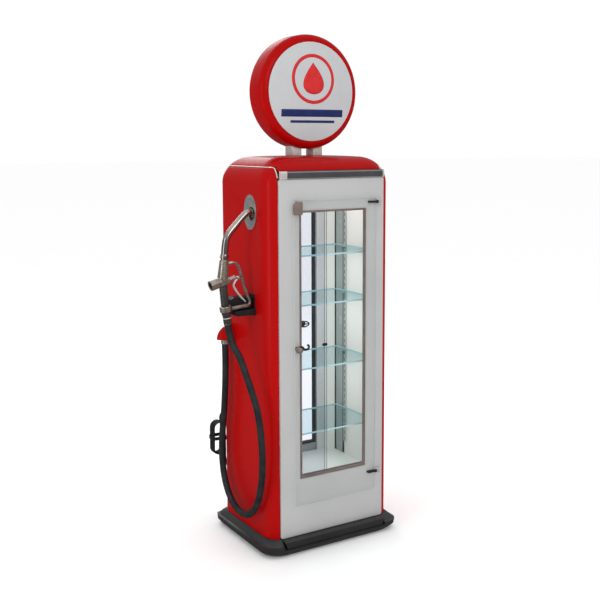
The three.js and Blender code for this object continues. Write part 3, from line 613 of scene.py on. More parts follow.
def make_lead():
    """The mains lead, from its gland through the folded hank to the plug."""
    path = spline([mm(*p) for p in [*LEAD_EXIT, *hank_turns(), *LEAD_TAIL]], 4)
    bm = bmesh.new()
    add_tube(bm, path, LEAD_D / 2, 12)
    lead = piece("mains_lead", bm, LEAD_RUBBER, "cabinet", ["lead", "lead_hank", "lead_tail"])
    plug = make_plug()


def make_plug():
    """A round two-pin plug with a ribbed grip. Its pins are parented to its body."""
    top = mm(-209, 212.5, 143.7)
    down = top + Vector((0, 0, -1))
    grip = [(0, 0), (4.2, 0), (5, 1)]
    for i in range(4):
        along = 3.4 * i
        grip += [(5.6 + i, 3 + along), (7.2 + i, 3.6 + along), (7.2 + i, 5.4 + along), (5.9 + i, 6 + along)]
    grip += [(11, 17.5), (12.6, 20), (13, 34), (12.2, 37.6), (11, 38), (0, 38)]
    bm = bmesh.new()
    add_lathe(bm, grip, top, down, 32)
    plug = piece("plug_body", bm, PLASTIC, "cabinet", ["lead_plug"])
    bm = bmesh.new()
    pin = [(0, 0), (2.2, 0), (2.2, 16), (1.4, 17.6), (0, 18)]
    for side in (-6, 6):
        start = top + mm(side, 0, -38.2)
        add_lathe(bm, pin, start, start + Vector((0, 0, -1)), 16)
    pins = piece("plug_pins", bm, BRASS, None)
    pins.parent = plug
    return plug


def make_gland_and_tie():
    """The tapered strain relief at the lead's exit, and the strap round the hank."""
    start = mm(-203, 198.2, 440)
    out = start + Vector((0, 1, 0))
    profile = [(0, 0), (11, 0), (11, 3), (10, 5), (7.6, 5.4)]
    for i in range(5):
        radius = 7.4 - 0.62 * i
        along = 4 * i
        profile += [(radius, 6 + along), (radius, 8.4 + along)]
        profile += [(radius - 1.5, 8.9 + along), (radius - 1.6, 9.7 + along)]
    profile += [(4.4, 26.6), (3.7, 26.9), (0, 26.9)]
    bm = bmesh.new()
    add_lathe(bm, profile, start, out, 32)
    piece("strain_relief", bm, PLASTIC, "cabinet", ["lead_gland"])

    corners = []
    for turn in turns(48):
        x = math.copysign(abs(math.cos(turn)) ** 0.5, math.cos(turn)) * (HANK_RUN + 6)
        y = math.copysign(abs(math.sin(turn)) ** 0.5, math.sin(turn)) * (HANK_END + 5.4)
        corners.append((x, y))
    rows = []
    for grow, z in ((0, 323.5), (1.4, 323.5), (1.4, 336.5), (0, 336.5), (0, 323.5)):
        rows.append([mm(HANK_X + x * (1 + grow / 30), HANK_Y + y * (1 + grow / 26), z) for x, y in corners])
    bm = bmesh.new()
    add_grid(bm, rows)
    piece("hank_strap", bm, PLASTIC, "cabinet")


# ---- Casing ---------------------------------------------------------------------------------
def inset_at(z):
    """How far the rounded top has drawn in at this height."""
    share = min(max((z - SHOULDER_Z) / SHOULDER_RISE, 0), 1)
    return SHOULDER_IN * (1 - math.sqrt(1 - share * share))


def corner_at(z):
    """Centre and radius of the body's front right corner at this height, seen from above."""
    inset = inset_at(z)
    radius = CORNER_R - 0.35 * inset
    return BX - inset - radius, BY - inset - radius, radius


def shoulder_rows(low, high, count):
    """Heights spaced evenly round the shoulder's curve."""
    a, b = (math.asin((z - SHOULDER_Z) / SHOULDER_RISE) for z in (low, high))
    return [SHOULDER_Z + SHOULDER_RISE * math.sin(a + (b - a) * i / count) for i in range(count + 1)]


def side_outline(z, edge=SHELL_EDGE, steps=16, grow=0.0):
    """The shell's outline on the +X side at this height, from its front edge to its back edge."""
    cx, cy, radius = corner_at(z)
    start = math.acos(min((edge - cx) / radius, 1))
    radius += grow
    front = [(-start + start * i / steps) for i in range(steps + 1)]
    points = [(cx + radius * math.cos(a), -cy + radius * math.sin(a)) for a in front]
    return points + [(x, -y) for x, y in reversed(points)]


def make_shells():
    """The two side shells: curved sheets, the left one with its holes for the spout and the hose."""
    heights = [60.3, 380, 700, 1010, *shoulder_rows(SHOULDER_Z, SEAM_LOW, 8)]
    for name, side in (("left", -1), ("right", 1)):
        bm = bmesh.new()
        rows = [[mm(side * x, y, z) for x, y in side_outline(z)] for z in heights]
        add_grid(bm, rows, ring=False)
        holes = []
        if side < 0:
            for label, y, z, radius in (("spout", *SPOUT_HOLE, 28), ("hose", OUTLET[1], 770, 20)):
                holes.append(hole_cutter(f"cut_{label}", y, z, radius))
        shell = piece(f"shell_{name}", bm, RED, "cabinet", [f"side_shell_{name}"])
        thicken(shell, SHELL_THICK, holes)


def hole_cutter(name, y, z, radius):
    """A round bar across the left wall, kept only for the cut it makes."""
    bm = bmesh.new()
    add_lathe(bm, [(0, 0), (radius, 0), (radius, 60), (0, 60)], mm(-290, y, z), mm(-200, y, z), 48)
    return linked(name, bm)


def thicken(made, thickness, cutters=()):
    """Gives a sheet its thickness inwards, cuts its holes and eases its edges, all applied."""
    middle = Vector((0, 0, 0.8))
    outward = sum(p.normal.dot(p.center - middle) for p in made.data.polygons)
    solid = made.modifiers.new("thick", "SOLIDIFY")
    solid.thickness = thickness * MM
    solid.offset = -1 if outward > 0 else 1
    for cutter in cutters:
        add_cut(made, cutter)
    eased = made.modifiers.new("eased", "BEVEL")
    eased.width = 0.7 * MM
    eased.segments = 2
    eased.angle_limit = math.radians(50)
    apply_modifiers(made).set_sharp_from_angle(angle=math.radians(50))
    for cutter in cutters:
        bpy.data.objects.remove(cutter)


def hood_outline(z, lip_steps=6, corner_steps=14):
    """The hood's whole outline at this height, and which of its spans lie over the front opening."""
    cx, cy, radius = corner_at(z)
    split = math.acos(min(max((LIP_EDGE - cx) / radius, 0.02), 0.97))
    quarter = [(cx * i / 4, -cy - radius, True) for i in range(4)]
    for i in range(lip_steps):
        a = -math.pi / 2 + (math.pi / 2 - split) * i / lip_steps
        quarter.append((cx + radius * math.cos(a), -cy + radius * math.sin(a), True))
    for i in range(corner_steps):
        a = -split + split * i / corner_steps
        quarter.append((cx + radius * math.cos(a), -cy + radius * math.sin(a), False))
    quarter += [(cx + radius, -cy + cy * i / 3, False) for i in range(4)]
    half = quarter + [(x, -y, lip) for x, y, lip in reversed(quarter[:-1])]
    return half + [(-x, y, lip) for x, y, lip in reversed(half[1:-1])]


def make_hood():
    """The pressed top hood, with a lip that comes down over the front opening only."""
    heights = [1363.5, 1370.5, SEAM_HIGH, *shoulder_rows(SEAM_HIGH, HOOD_Z - 4.001, 12)[1:]]
    outlines = [hood_outline(z) for z in heights]
    rows = [[mm(x, y, z) for x, y, _ in outline] for outline, z in zip(outlines, heights)]
    in_lip = []
    for a, b in zip(outlines[0], [*outlines[0][1:], outlines[0][0]]):
        at_end = a[2] != b[2] and abs(a[0]) < LIP_EDGE - 0.01 and abs(b[0]) < LIP_EDGE + 0.01
        in_lip.append((a[2] and b[2]) or at_end)
    top = outlines[-1]
    for share, z in ((0.9, 1409.4), (0.72, 1410.9), (0.45, 1411.7), (0.2, 1412)):
        rows.append([mm(x * share, y * share, z) for x, y, _ in top])
    bm = bmesh.new()
    made = add_grid(bm, rows, keep=lambda r, c: r > 1 or in_lip[c])
    bm.faces.new(made[-1])
    loose = [v for v in bm.verts if not v.link_faces]
    bmesh.ops.delete(bm, geom=loose, context="VERTS")
    hood = piece("hood", bm, RED, "cabinet", ["top_hood"])
    thicken(hood, SHELL_THICK)


def make_trims():
    """A chrome bead along the seam, with a leg that turns down to the header strip."""
    for name, side in (("left", -1), ("right", 1)):
        level = 1375.8
        leg = []
        for z in (1340, 1347, 1354, 1361, 1367):
            cx, cy, radius = corner_at(z)
            reach = radius - 0.4
            leg.append((217.9, -cy - math.sqrt(reach**2 - (217.9 - cx) ** 2), z))
        ring = [(x, y, level) for x, y in side_outline(level, 223.5, 16, -0.4)]
        turn = [(218.2, leg[-1][1] + 3.6, 1372), (220.2, ring[0][1] - 0.6, 1375.1)]
        path = spline([mm(side * x, y, z) for x, y, z in [*leg, *turn, *ring]], 2)
        bm = bmesh.new()
        add_tube(bm, path, 2.0, 12)
        piece(f"seam_bead_{name}", bm, BEAD, "cabinet", [f"trim_{name}"])


def make_header():
    """The strip over the panel: a fluted bar between a long left cap and a short right cap."""
    low, high = 1336.1, 1362.9

    def section(grow):
        face = []
        for i in range(13):
            share = i / 12
            z = low + (high - low) * share
            depth = 2.2 if 0.08 < share < 0.92 else 2.2 * 0.2
            bulge = 7.2 - depth * math.cos(2 * math.pi * share) ** 3
            face.append((-BY - min(bulge, 7.1) - grow, z + (share - 0.5) * 2 * grow * 0.3))
        return [(-BY + 1, low), *face, (-BY + 1, high)]

    for name, x0, x1, grow, look in (
        ("bar", -187.6, 209.6, 0, HEADER),
        ("cap_left", -216, -188, 0.35, BEAD),
        ("cap_right", 210, 216, 0.35, BEAD),
    ):
        bm = bmesh.new()
        add_prism(bm, [mm(x0, y, z) for y, z in section(grow)], mm(x1 - x0, 0, 0))
        replaced = ["header_strip"] if name == "bar" else ()
        piece(f"header_{name}", bm, look, "cabinet", replaced, 30, [bevel(0.5, 2, 60)])


# ---- Globe ----------------------------------------------------------------------------------
def quarter(r0, y0, dr, dy, start, end, steps=12):
    """An arc of an oval about (r0, y0), as profile points."""
    angles = [start + (end - start) * i / steps for i in range(steps + 1)]
    return [(r0 + dr * math.sin(a), y0 + dy * math.cos(a)) for a in angles]


def make_globe():
    """The globe's rolled casing, and a domed lens in each of its two mouths."""
    centre = mm(0, 0, GLOBE_Z)
    back = centre + Vector((0, 1, 0))
    depth = 23
    level = GLOBE_HALF - depth
    shoulder = GLOBE_R - MOUTH_R
    half_pi = math.pi / 2
    profile = [
        *quarter(MOUTH_R, -level, shoulder, -depth, 0, half_pi),
        *quarter(MOUTH_R, level, shoulder, depth, half_pi, 0),
        (MOUTH_R - 7, GLOBE_HALF),
        (MOUTH_R - 8, GLOBE_HALF - 1),
        (MOUTH_R - 8, GLOBE_HALF - 4),
        *quarter(MOUTH_R, level, shoulder - 4, depth - 4, 0, half_pi, 8),
        *quarter(MOUTH_R, -level, shoulder - 4, -depth + 4, half_pi, 0, 8),
        (MOUTH_R - 8, -GLOBE_HALF + 4),
        (MOUTH_R - 8, -GLOBE_HALF + 1),
        (MOUTH_R - 7, -GLOBE_HALF),
    ]
    bm = bmesh.new()
    add_lathe(bm, profile, centre, back, 128, closed=True)
    piece("globe_casing", bm, GLOBE_RED, "cabinet", ["globe_band"])

    for name, side in (("front", -1), ("back", 1)):
        face = [(r, LENS_BASE + lens_rise(r)) for r in (LENS_R * i / 20 for i in range(20))]
        edge = [(LENS_R - 0.5, LENS_BASE - 0.2), (LENS_R, LENS_BASE - 1.2), (LENS_R - 0.3, LENS_BASE - 3)]
        under = [(r, LENS_BASE - 3 + lens_rise(r)) for r in (LENS_R * i / 12 for i in reversed(range(12)))]
        bm = bmesh.new()
        add_lathe(bm, [*face, *edge, *under], centre, centre + Vector((0, side, 0)), 96)
        piece(f"lens_{name}", bm, OPAL, "cabinet", [f"globe_lens_{name}"])
        make_emblem(name, side)


def lens_rise(radius):
    """How far the domed lens stands out at this radius."""
    return LENS_BULGE * (1 - (radius / LENS_R) ** 2)


def on_lens(side, x, z, lift=0.25):
    """A point on the lens's face, seen from its own front with x to the right."""
    radius = math.hypot(x, z)
    return mm(-side * x, side * (LENS_BASE + lens_rise(radius) + lift), GLOBE_Z + z)


def make_emblem(name, side):
    """A generic fuel drop in a ring over two bars, printed on the lens."""
    print_film = [("SOLIDIFY", {"thickness": 0.0002})]
    bm = bmesh.new()
    drop, ring = [], []
    for turn in turns(72):
        drop.append((58 * math.sin(turn) * math.sin(turn / 2) ** 1.2, 56 * math.cos(turn)))
        ring.append((math.sin(turn), math.cos(turn)))
    shares = (1, 0.8, 0.6, 0.4, 0.2, 0.02)
    add_grid(bm, [[on_lens(side, x * s, 46 + z * s) for x, z in drop] for s in shares])
    circles = [[on_lens(side, x * r, 44 + z * r) for x, z in ring] for r in (88, 84, 80, 76)]
    add_grid(bm, circles)
    piece(f"emblem_drop_{name}", bm, EMBLEM_RED, "cabinet", modifiers=print_film)
    bm = bmesh.new()
    for level, half, high in ((-76, 128, 26), (-106, 92, 9)):
        rows = []
        for i in range(5):
            z = level + high * (i / 4 - 0.5)
            rows.append([on_lens(side, -half + 2 * half * k / 24, z) for k in range(25)])
        add_grid(bm, rows, ring=False)
    piece(f"emblem_bars_{name}", bm, EMBLEM_BLUE, "cabinet", modifiers=print_film)


# ---- Nozzle ---------------------------------------------------------------------------------
def make_nozzle_body():
    """The casting as one skin, with its hollow stub, the ribbed grip and the trigger's pin."""
    bm = bmesh.new()
    add_bar(bm, side_point(COLLAR_LOW), side_point(COLLAR_TOP), 20.6, edge=2)
    add_bar(bm, side_point(CROSS), side_point(SLEEVE_TOP), 20, 15.6, edge=2)
    add_bar(bm, side_point((-358, 993.5)), side_point(CROSS_END), 18, edge=1.6)
    add_bar(bm, side_point((-414, 978.3)), side_point((-426.6, 974.9)), 18.2, edge=1)
    add_bar(bm, side_point((-372, 983)), side_point((-330, 1000)), 6.6)
    for y in (NOZZLE_Y - 6, NOZZLE_Y + 6):
        add_bar(bm, side_point((-336, 997.6), y), side_point((-320, 996), y), 3.2, edge=0.5)
    for sign in (-1, 1):
        start = side_point(TRIGGER_PIN, NOZZLE_Y + 4.2 * sign)
        end = side_point(TRIGGER_PIN, NOZZLE_Y + 8.4 * sign)
        add_bar(bm, start, end, 6.2)
    body = piece("nozzle_casting", bm, CAST, "nozzle", ["nozzle_body"])
    remesh = body.modifiers.new("one_skin", "REMESH")
    remesh.mode = "VOXEL"
    remesh.voxel_size = 0.0011
    remesh.use_smooth_shade = True
    bm = bmesh.new()
    add_bar(bm, side_point((-388, 985.4)), side_point(STUB_OUT), 12.6)
    hollow = linked("cut_hollow", bm)
    add_cut(body, hollow)
    soft = body.modifiers.new("soft", "SMOOTH")
    soft.iterations = 4
    soft.factor = 0.6
    apply_modifiers(body)
    bpy.data.objects.remove(hollow)
    make_grip()

    bm = bmesh.new()
    profile = [(0, 2), (5, 2), (6, 0.4), (9.6, 0.4), (10.6, 2.4), (11.9, 2.4)]
    profile += [(11.9, 33), (12.5, 33), (12.5, -2), (0, -2)]
    add_lathe(bm, profile, side_point((-392, 984.3)), side_point(STUB_OUT), 32)
    piece("stub_seat", bm, PLASTIC, "nozzle")

    bm = bmesh.new()
    pin = [side_point(TRIGGER_PIN, NOZZLE_Y + y) for y in (-9.4, 9.4)]
    add_bar(bm, *pin, 2.2, edge=0.4)
    for sign in (-1, 1):
        add_screw(bm, side_point(TRIGGER_PIN, NOZZLE_Y + 8.4 * sign), (0, sign, 0), 3.4)
    piece("trigger_pin", bm, CHROME, "nozzle")


def make_grip():
    """The ribbed grip between the collar and the cross head."""
    start, end = side_point(COLLAR_TOP), side_point(CROSS)
    span = (end - start).length / MM
    profile = [(0, 1), (14.4, 1)]
    for i in range(9):
        along = 8 + i * (span - 26) / 8
        profile += [(14.4, along - 1.6), (13.5, along - 0.8), (13.5, along + 0.8), (14.4, along + 1.6)]
    profile += [(14.6, span - 6), (0, span - 6)]
    bm = bmesh.new()
    add_lathe(bm, profile, start, end, 40)
    piece("nozzle_grip", bm, DARK_STEEL, "nozzle")


SPOUT_ROUTE = [
    (-373, 1051),
    (-370.5, 1078),
    (-367.5, 1108),
    (-362, 1134),
    (-350, 1154),
    (-328, 1177),
    (-300, 1205),
    (-284, 1218),
    (-270, 1222),
    (-258, 1217),
    (-250, 1205),
]


def make_spout():
    """A bent steel tube with an open, turned-in mouth, and a nut where it enters the casting."""
    path = spline([side_point(p) for p in SPOUT_ROUTE], 8)
    frames = frames_along(path)
    rows = []

    def ring(i, radius):
        point, u, v = frames[i]
        return [point + (u * math.cos(t) + v * math.sin(t)) * radius * MM for t in turns(32)]

    last = len(path) - 1
    for i in range(last + 1):
        rows.append(ring(i, 12.4 - 0.9 * i / last))
    for i, radius in ((last, 10.6), (last, 9.8), (last - 4, 9.6), (last - 9, 9.4)):
        rows.append(ring(i, radius))
    bm = bmesh.new()
    add_grid(bm, rows, caps=True)
    piece("spout_tube", bm, SPOUT_STEEL, "nozzle", ["nozzle_spout"], 50)

    start, end = path[6], path[14]
    bm = bmesh.new()
    profile = [(12.5, -3), (15.4, -3), (16, -2.2), (16, 1.6), (15.4, 2.4)]
    profile += [(14.2, 3), (14, 9), (13.4, 10), (12.5, 10)]
    add_lathe(bm, profile, start, end, 40, closed=True)
    piece("spout_collar", bm, SPOUT_STEEL, "nozzle")


GUARD_ROUTE = [
    (-354.6, 1046),
    (-334, 1050),
    (-318, 1038),
    (-310, 1012),
    (-297, 968),
    (-284, 930),
    (-276, 906),
    (-283, 897),
    (-300, 895),
    (-347.5, 890.5),
]


def make_guard():
    """A cast strap round the trigger: a rounded flat section, wider where it meets the body."""
    path = spline([side_point(p) for p in GUARD_ROUTE], 8)

    def half_sizes(share):
        foot = min(max((share - 0.7) / 0.12, 0), 1)
        return 6.8 + 2.4 * foot, 4.4 + 2.8 * foot

    bm = bmesh.new()
    add_strap(bm, path, 20, half_sizes, 0.7)
    piece("hand_guard", bm, CAST, "nozzle", ["nozzle_guard"], 50)


def make_trigger():
    """The bent wire trigger and the eye it turns on."""
    route = [TRIGGER_PIN, (-331, 984), (-337, 971), (-331, 957), (-312, 931), (-292, 910)]
    bm = bmesh.new()
    path = spline([side_point(p) for p in route], 8)
    add_tube(bm, path, lambda share: 3.7 if share < 0.9 else 3.7 - 12 * (share - 0.9), 16)
    pin = side_point(TRIGGER_PIN)
    profile = [(2.6, -3.4), (5.2, -3.4), (5.6, -3), (5.6, 3), (5.2, 3.4), (2.6, 3.4)]
    add_lathe(bm, profile, pin, pin + Vector((0, 1, 0)), 32, closed=True)
    piece("trigger_lever", bm, WIRE, "trigger", ["nozzle_trigger"], 50)


def make_swivel():
    """The hose swivel: a hexagon nut, a turned stem with grooves, and a pale plastic ring."""
    start = side_point(along_collar(0.4))
    end = side_point(along_collar(46))
    bm = bmesh.new()
    add_lathe(bm, [(0, 0), (15.2, 0), (16.4, 1), (16.4, 8.4), (15.2, 9.4), (0, 9.4)], start, end, 6)
    profile = [(0, 9.4), (13.4, 9.4), (13.4, 12), (14.6, 13), (14.6, 18), (13.2, 19)]
    profile += [(13.2, 22.4), (14.4, 23.4), (14.4, 38), (13.6, 39)]
    profile += [(13.6, 41), (14.2, 42), (14, 45.2), (0, 45.2)]
    add_lathe(bm, profile, start, end, 40)
    swivel = piece("swivel_body", bm, DARK_STEEL, "swivel", ["hose_swivel"])
    bm = bmesh.new()
    section = [(13.3, 19.2), (14.7, 19.5), (14.7, 22), (13.3, 22.3)]
    add_lathe(bm, section, start, end, 40, closed=True)
    ring = piece("swivel_ring", bm, OPAL, None)
    ring.parent = swivel


# ---- Holders on the left side ---------------------------------------------------------------
def make_spout_plate():
    """An oval plate with a rolled edge, a hole for the spout and two screws."""
    outer_face, inner_face = -BX - 2.9, -BX - 0.3

    def oval(shrink, x):
        wide, high = 44 - shrink, 62 - shrink
        return [mm(x, -65 + wide * math.cos(t), 1219 + high * math.sin(t)) for t in turns(72)]

    def circle(radius, x):
        y, z = SPOUT_HOLE
        return [mm(x, y + radius * math.cos(t), z + radius * math.sin(t)) for t in turns(72)]

    rows = [
        circle(24, inner_face),
        oval(0.2, inner_face),
        oval(0, inner_face - 0.9),
        oval(0.5, outer_face + 0.4),
        oval(1.6, outer_face),
        oval(4.2, outer_face),
        oval(5.0, outer_face + 0.5),
        circle(26.6, outer_face + 0.5),
        circle(25.6, outer_face),
        circle(24.4, outer_face),
        circle(24, outer_face + 0.5),
        circle(24, inner_face),
    ]
    bm = bmesh.new()
    add_grid(bm, rows)
    piece("spout_plate", bm, PLATE_STEEL, "cabinet", ["nozzle_plate"], 40)
    bm = bmesh.new()
    for y, z in ((-62, 1270), (-62, 1169)):
        add_screw(bm, mm(outer_face + 0.4, y, z), (-1, 0, 0), 4)
    piece("spout_plate_screws", bm, CHROME, "cabinet")


def make_boot():
    """The moulded boot: a block at the back and a lower ledge in front that the guard stands on."""
    front = NOZZLE_Y + 9
    wall = -258.3
    block = [(wall, 862), (wall, 922), (-330, 926), (-343, 917), (-343, 874), (-333, 862)]
    ledge = [(wall, 862), (wall, 883), (-337.6, 880), (-333, 862)]
    bm = bmesh.new()
    add_prism(bm, [mm(x, front, z) for x, z in block], mm(0, 44, 0))
    piece("boot_block", bm, PLASTIC, "cabinet", ["nozzle_boot"], 30, [bevel(3.2, 4, 25)])
    bm = bmesh.new()
    add_prism(bm, [mm(x, front - 25, z) for x, z in ledge], mm(0, 28, 0))
    piece("boot_ledge", bm, PLASTIC, "cabinet", (), 30, [bevel(2.2, 4, 25)])
    bm = bmesh.new()
    flange = ((-4, 0), (48, 0), (48, 76), (-4, 76))
    add_prism(bm, [mm(wall, front - 12 + y, 856 + z) for y, z in flange], mm(-2, 0, 0))
    piece("boot_flange", bm, PLASTIC, "cabinet", (), 30, [bevel(0.8, 2, 25)])


def make_hose_hood():
    """A red half dome over the hose's outlet, open below, with a rolled rim against the wall."""
    wall, middle, low = -BX - 0.3, OUTLET[1], 744
    rows = []
    for i in range(15):
        up = math.pi / 2 * i / 14
        row = []
        for k in range(33):
            turn = math.pi * (k / 32 - 0.5)
            x = wall - 59.6 * math.cos(turn) * math.cos(up)
            y = middle + 28.8 * math.sin(turn) * math.cos(up)
            row.append(mm(x, y, low + 53.6 * math.sin(up)))
        rows.append(row)
    bm = bmesh.new()
    add_grid(bm, rows, ring=False)
    bmesh.ops.remove_doubles(bm, verts=bm.verts, dist=1e-6)
    hood = piece("outlet_hood", bm, RED, "cabinet", ["hose_hood"], 50)
    solid = hood.modifiers.new("thick", "SOLIDIFY")
    solid.thickness = SHELL_THICK * MM
    solid.offset = -1
    hood.modifiers.new("eased", "BEVEL").width = 0.6 * MM
    rim = []
    for i in range(25):
        turn = math.pi * i / 24
        rim.append(mm(wall - 0.9, middle - 29 * math.cos(turn), low + 1 + 54 * math.sin(turn)))
    bm = bmesh.new()
    add_tube(bm, rim, 1.6, 10)
    piece("outlet_rim", bm, RED, "cabinet")

    bm = bmesh.new()
    top = mm(*OUTLET, 770)
    profile = [(0, -14), (9, -12), (13, -4), (13, 2), (11.6, 3)]
    profile += [(11.6, 5), (13, 6), (13, 20), (12.2, 25), (0, 25)]
    add_lathe(bm, profile, top, top + Vector((0, 0, -1)), 36)
    add_bar(bm, mm(-252, OUTLET[1], 772), mm(-280, OUTLET[1], 772), 8.6)
    piece("outlet_elbow", bm, DARK_STEEL, "cabinet")
    bm = bmesh.new()
    sleeve = [(12.3, 0), (14.2, 0), (14.8, 1), (14.8, 4), (14, 5)]
    sleeve += [(14, 8), (14.8, 9), (14.8, 15), (14, 16), (12.3, 16)]
    add_lathe(bm, sleeve, mm(*OUTLET, 742.6), mm(*OUTLET, 700), 36, closed=True)
    piece("hose_ferrule", bm, PLATE_STEEL, "cabinet")


# ---- Door furniture and small fittings ------------------------------------------------------
def make_knob():
    """A turned knob on its rose, with a shallow groove and a domed face, its metal coloured brown as a
    painted reflection of brown surroundings.
    """
    face = mm(LATCH[0], -206.8, LATCH[1])
    front = face + Vector((0, -1, 0))
    profile = [(0, 0), (11, 0), (11, 1.4), (10.4, 2.2), (7.4, 3.2), (6, 5), (6, 8), (7.8, 10)]
    profile += [(9.6, 11.6), (10.4, 13.6), (10.2, 15.8), (9.4, 16.4), (9, 16.2)]
    profile += [(8.4, 17.4), (6, 19.2), (3, 20.2), (0, 20.5)]
    bm = bmesh.new()
    add_lathe(bm, profile, face, front, 48)
    add_bar(bm, face, face + mm(0, 26.5, 0), 4, segments=24)
    piece("turn_knob", bm, BROWN_REFLECTION_METAL, "door_latch", ["door_knob"])


def make_hook():
    """The black latch hook behind the panel: a boss and a flat, bent arm with a rounded end."""
    level = -183.5
    route = [(0, 0), (18, 5), (31, 1), (38, -6), (49, -8), (58, -1), (55, 7), (50, 6)]
    path = spline([mm(LATCH[0] + x, level, LATCH[1] + z) for x, z in route], 8)

    def half_sizes(share):
        taper = 1 - 0.25 * share**3
        return 2.4, 4.4 * taper

    bm = bmesh.new()
    add_strap(bm, path, 16, half_sizes)
    centre = mm(LATCH[0], level - 2.5, LATCH[1])
    profile = [(4.3, 0), (5.8, 0), (6.4, 0.7), (6.4, 4.3), (5.8, 5), (4.3, 5)]
    add_lathe(bm, profile, centre, centre + Vector((0, 1, 0)), 32, closed=True)
    piece("s_hook", bm, HINGE_BLACK, "door_latch", ["latch_hook"], 50)


def make_ring_latch():
    """The ring pull on the rear glass, with its spindle and the rose on the outside."""
    x, z = RING_LATCH
    level = 183
    middle = mm(x, level, z)
    bm = bmesh.new()
    rows = []
    for turn in turns(48):
        point = mm(x + 21.2 * math.cos(turn), level, z + 10.5 * math.sin(turn))
        out = (point - middle).normalized()
        depth_way = Vector((0, 1, 0))
        rows.append([point + (out * math.cos(t) + depth_way * math.sin(t)) * 2.9 * MM for t in turns(12)])
    add_grid(bm, [*rows, rows[0]])
    add_bar(bm, mm(x - 20, level, z), mm(x + 20, level, z), 2.6, segments=16)
    add_bar(bm, mm(x, level - 2, z), mm(x, 203.6, z), 4.4, segments=24)
    outside = [(0, 0), (12, 0), (12, 3), (10.6, 5.6), (9.6, 7), (0, 7)]
    add_lathe(bm, outside, mm(x, 195.2, z), mm(x, 210, z), 40)
    piece("ring_pull", bm, HINGE_BLACK, "rear_latch", ["rear_latch_ring"], 50)


def make_screws():
    """Screw heads on the back panel and the hinge brackets."""
    bm = bmesh.new()
    for x in (-207, 207):
        for z in (90, 390, 690, 990, 1290):
            add_screw(bm, mm(x, 198, z), (0, 1, 0), 4.2)
    for x in (-110, 0, 110):
        add_screw(bm, mm(x, 198, 1340), (0, 1, 0), 4.2)
        add_screw(bm, mm(x, 198, 90), (0, 1, 0), 4.2)
    piece("back_screws", bm, CHROME, "cabinet")
    bm = bmesh.new()
    for z in (242, 1248):
        for dz in (-5.6, 5.6):
            add_screw(bm, mm(199.5, -200.8, z + dz), (0, -1, 0), 2.6)
    piece("bracket_screws", bm, GREY, "cabinet")


# ---- Upright glass ---------------------------------------------------------------------------
def rounded_rect(x0, x1, z0, z1, radius, steps=6):
    """The corners' arcs of a rounded rectangle, anticlockwise from its lower right corner."""
    out = []
    for i, (x, z) in enumerate(((x1, z0), (x1, z1), (x0, z1), (x0, z0))):
        cx = x - math.copysign(radius, x - (x0 + x1) / 2)
        cz = z - math.copysign(radius, z - (z0 + z1) / 2)
        for k in range(steps + 1):
            turn = math.pi / 2 * (i - 1 + k / steps)
            out.append((cx + radius * math.cos(turn), cz + radius * math.sin(turn)))
    return out


def add_pane(bm, outline, y0, y1, hole=None):
    """One clear face at y0, with ground edges back to y1. A hole is (x, z, radius)."""
    edge = 0.5 if y1 > y0 else -0.5
    cx = sum(x for x, _ in outline) / len(outline)
    cz = sum(z for _, z in outline) / len(outline)
    inner = [(x - math.copysign(0.5, x - cx), z - math.copysign(0.5, z - cz)) for x, z in outline]
    rows = [
        [mm(x, y1, z) for x, z in outline],
        [mm(x, y0 + edge, z) for x, z in outline],
        [mm(x, y0, z) for x, z in inner],
    ]
    if not hole:
        made = add_grid(bm, rows)
        bm.faces.new(made[-1])
        return
    x, z, radius = hole
    turns = [math.atan2(b - z, a - x) for a, b in inner]
    ring = [(x + radius * math.cos(t), z + radius * math.sin(t)) for t in turns]
    rows += [[mm(a, y0, b) for a, b in ring], [mm(a, y1, b) for a, b in ring]]
    add_grid(bm, rows)


def make_corner_strips():
    """Painted shade: grey-green strips on the linings behind the rear uprights, darker sheets put where the
    walls are in shade, each between two dark beads that stand in for the shade's crisp edges.
    """
    foot, top = 219, 1297.6
    for name, side in (("left", -1), ("right", 1)):
        bm = bmesh.new()
        corners = ((234.6, 86.5), (234.6, 143.5), (233, 143.5), (233, 86.5))
        add_prism(bm, [mm(side * x, y, foot) for x, y in corners], mm(0, 0, top - foot))
        piece(f"corner_strip_{name}", bm, CORNER_SHADE_PAINT, "cabinet", (), 30, [bevel(0.4)])
        bm = bmesh.new()
        for y in (86, 144):
            add_tube(bm, [mm(side * 232, y, z) for z in (221, 600, 950, 1296.6)], 2.6, 12)
        piece(f"corner_beads_{name}", bm, PLASTIC, "cabinet")


def make_glass():
    """The door's sheet, the two sliding panes and the rear light, each to its node's own size."""
    for name, body, look, radius, hole in (
        ("glass_door", "glass_door", DOOR_GLASS, 4, (*LATCH, 5)),
        ("sliding_pane_front", "pane_front", PANE_GLASS, 1.5, None),
        ("sliding_pane_rear", "pane_rear", PANE_GLASS, 1.5, None),
        ("rear_door_glass", "rear_door", DOOR_GLASS, 1.5, (*RING_LATCH, 5)),
    ):
        low, high = ([v / MM for v in corner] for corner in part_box(name))
        bm = bmesh.new()
        outline = rounded_rect(low[0], high[0], low[2], high[2], radius)
        add_pane(bm, outline, low[1], high[1], hole)
        piece(f"{name}_sheet", bm, look, body, [name], 20)


# ---- CAD nodes that keep their shape --------------------------------------------------------
def dress(look, *names, ease=0.0, sharp=35):
    """Gives CAD nodes a material, eased edges and smooth shading, and leaves their vertices alone."""
    for name in names:
        made = NODES[name]
        made.data.materials.clear()
        made.data.materials.append(look)
        made.data.shade_smooth()
        custom = made.data.attributes.get("custom_normal")
        if custom:
            made.data.attributes.remove(custom)
        weld = made.modifiers.new("weld", "WELD")
        weld.merge_threshold = 2e-6
        if ease:
            eased = made.modifiers.new("eased", "BEVEL")
            eased.width = ease * MM
            eased.segments = 2
            eased.angle_limit = math.radians(40)
        split = made.modifiers.new("sharp", "EDGE_SPLIT")
        split.split_angle = math.radians(sharp)


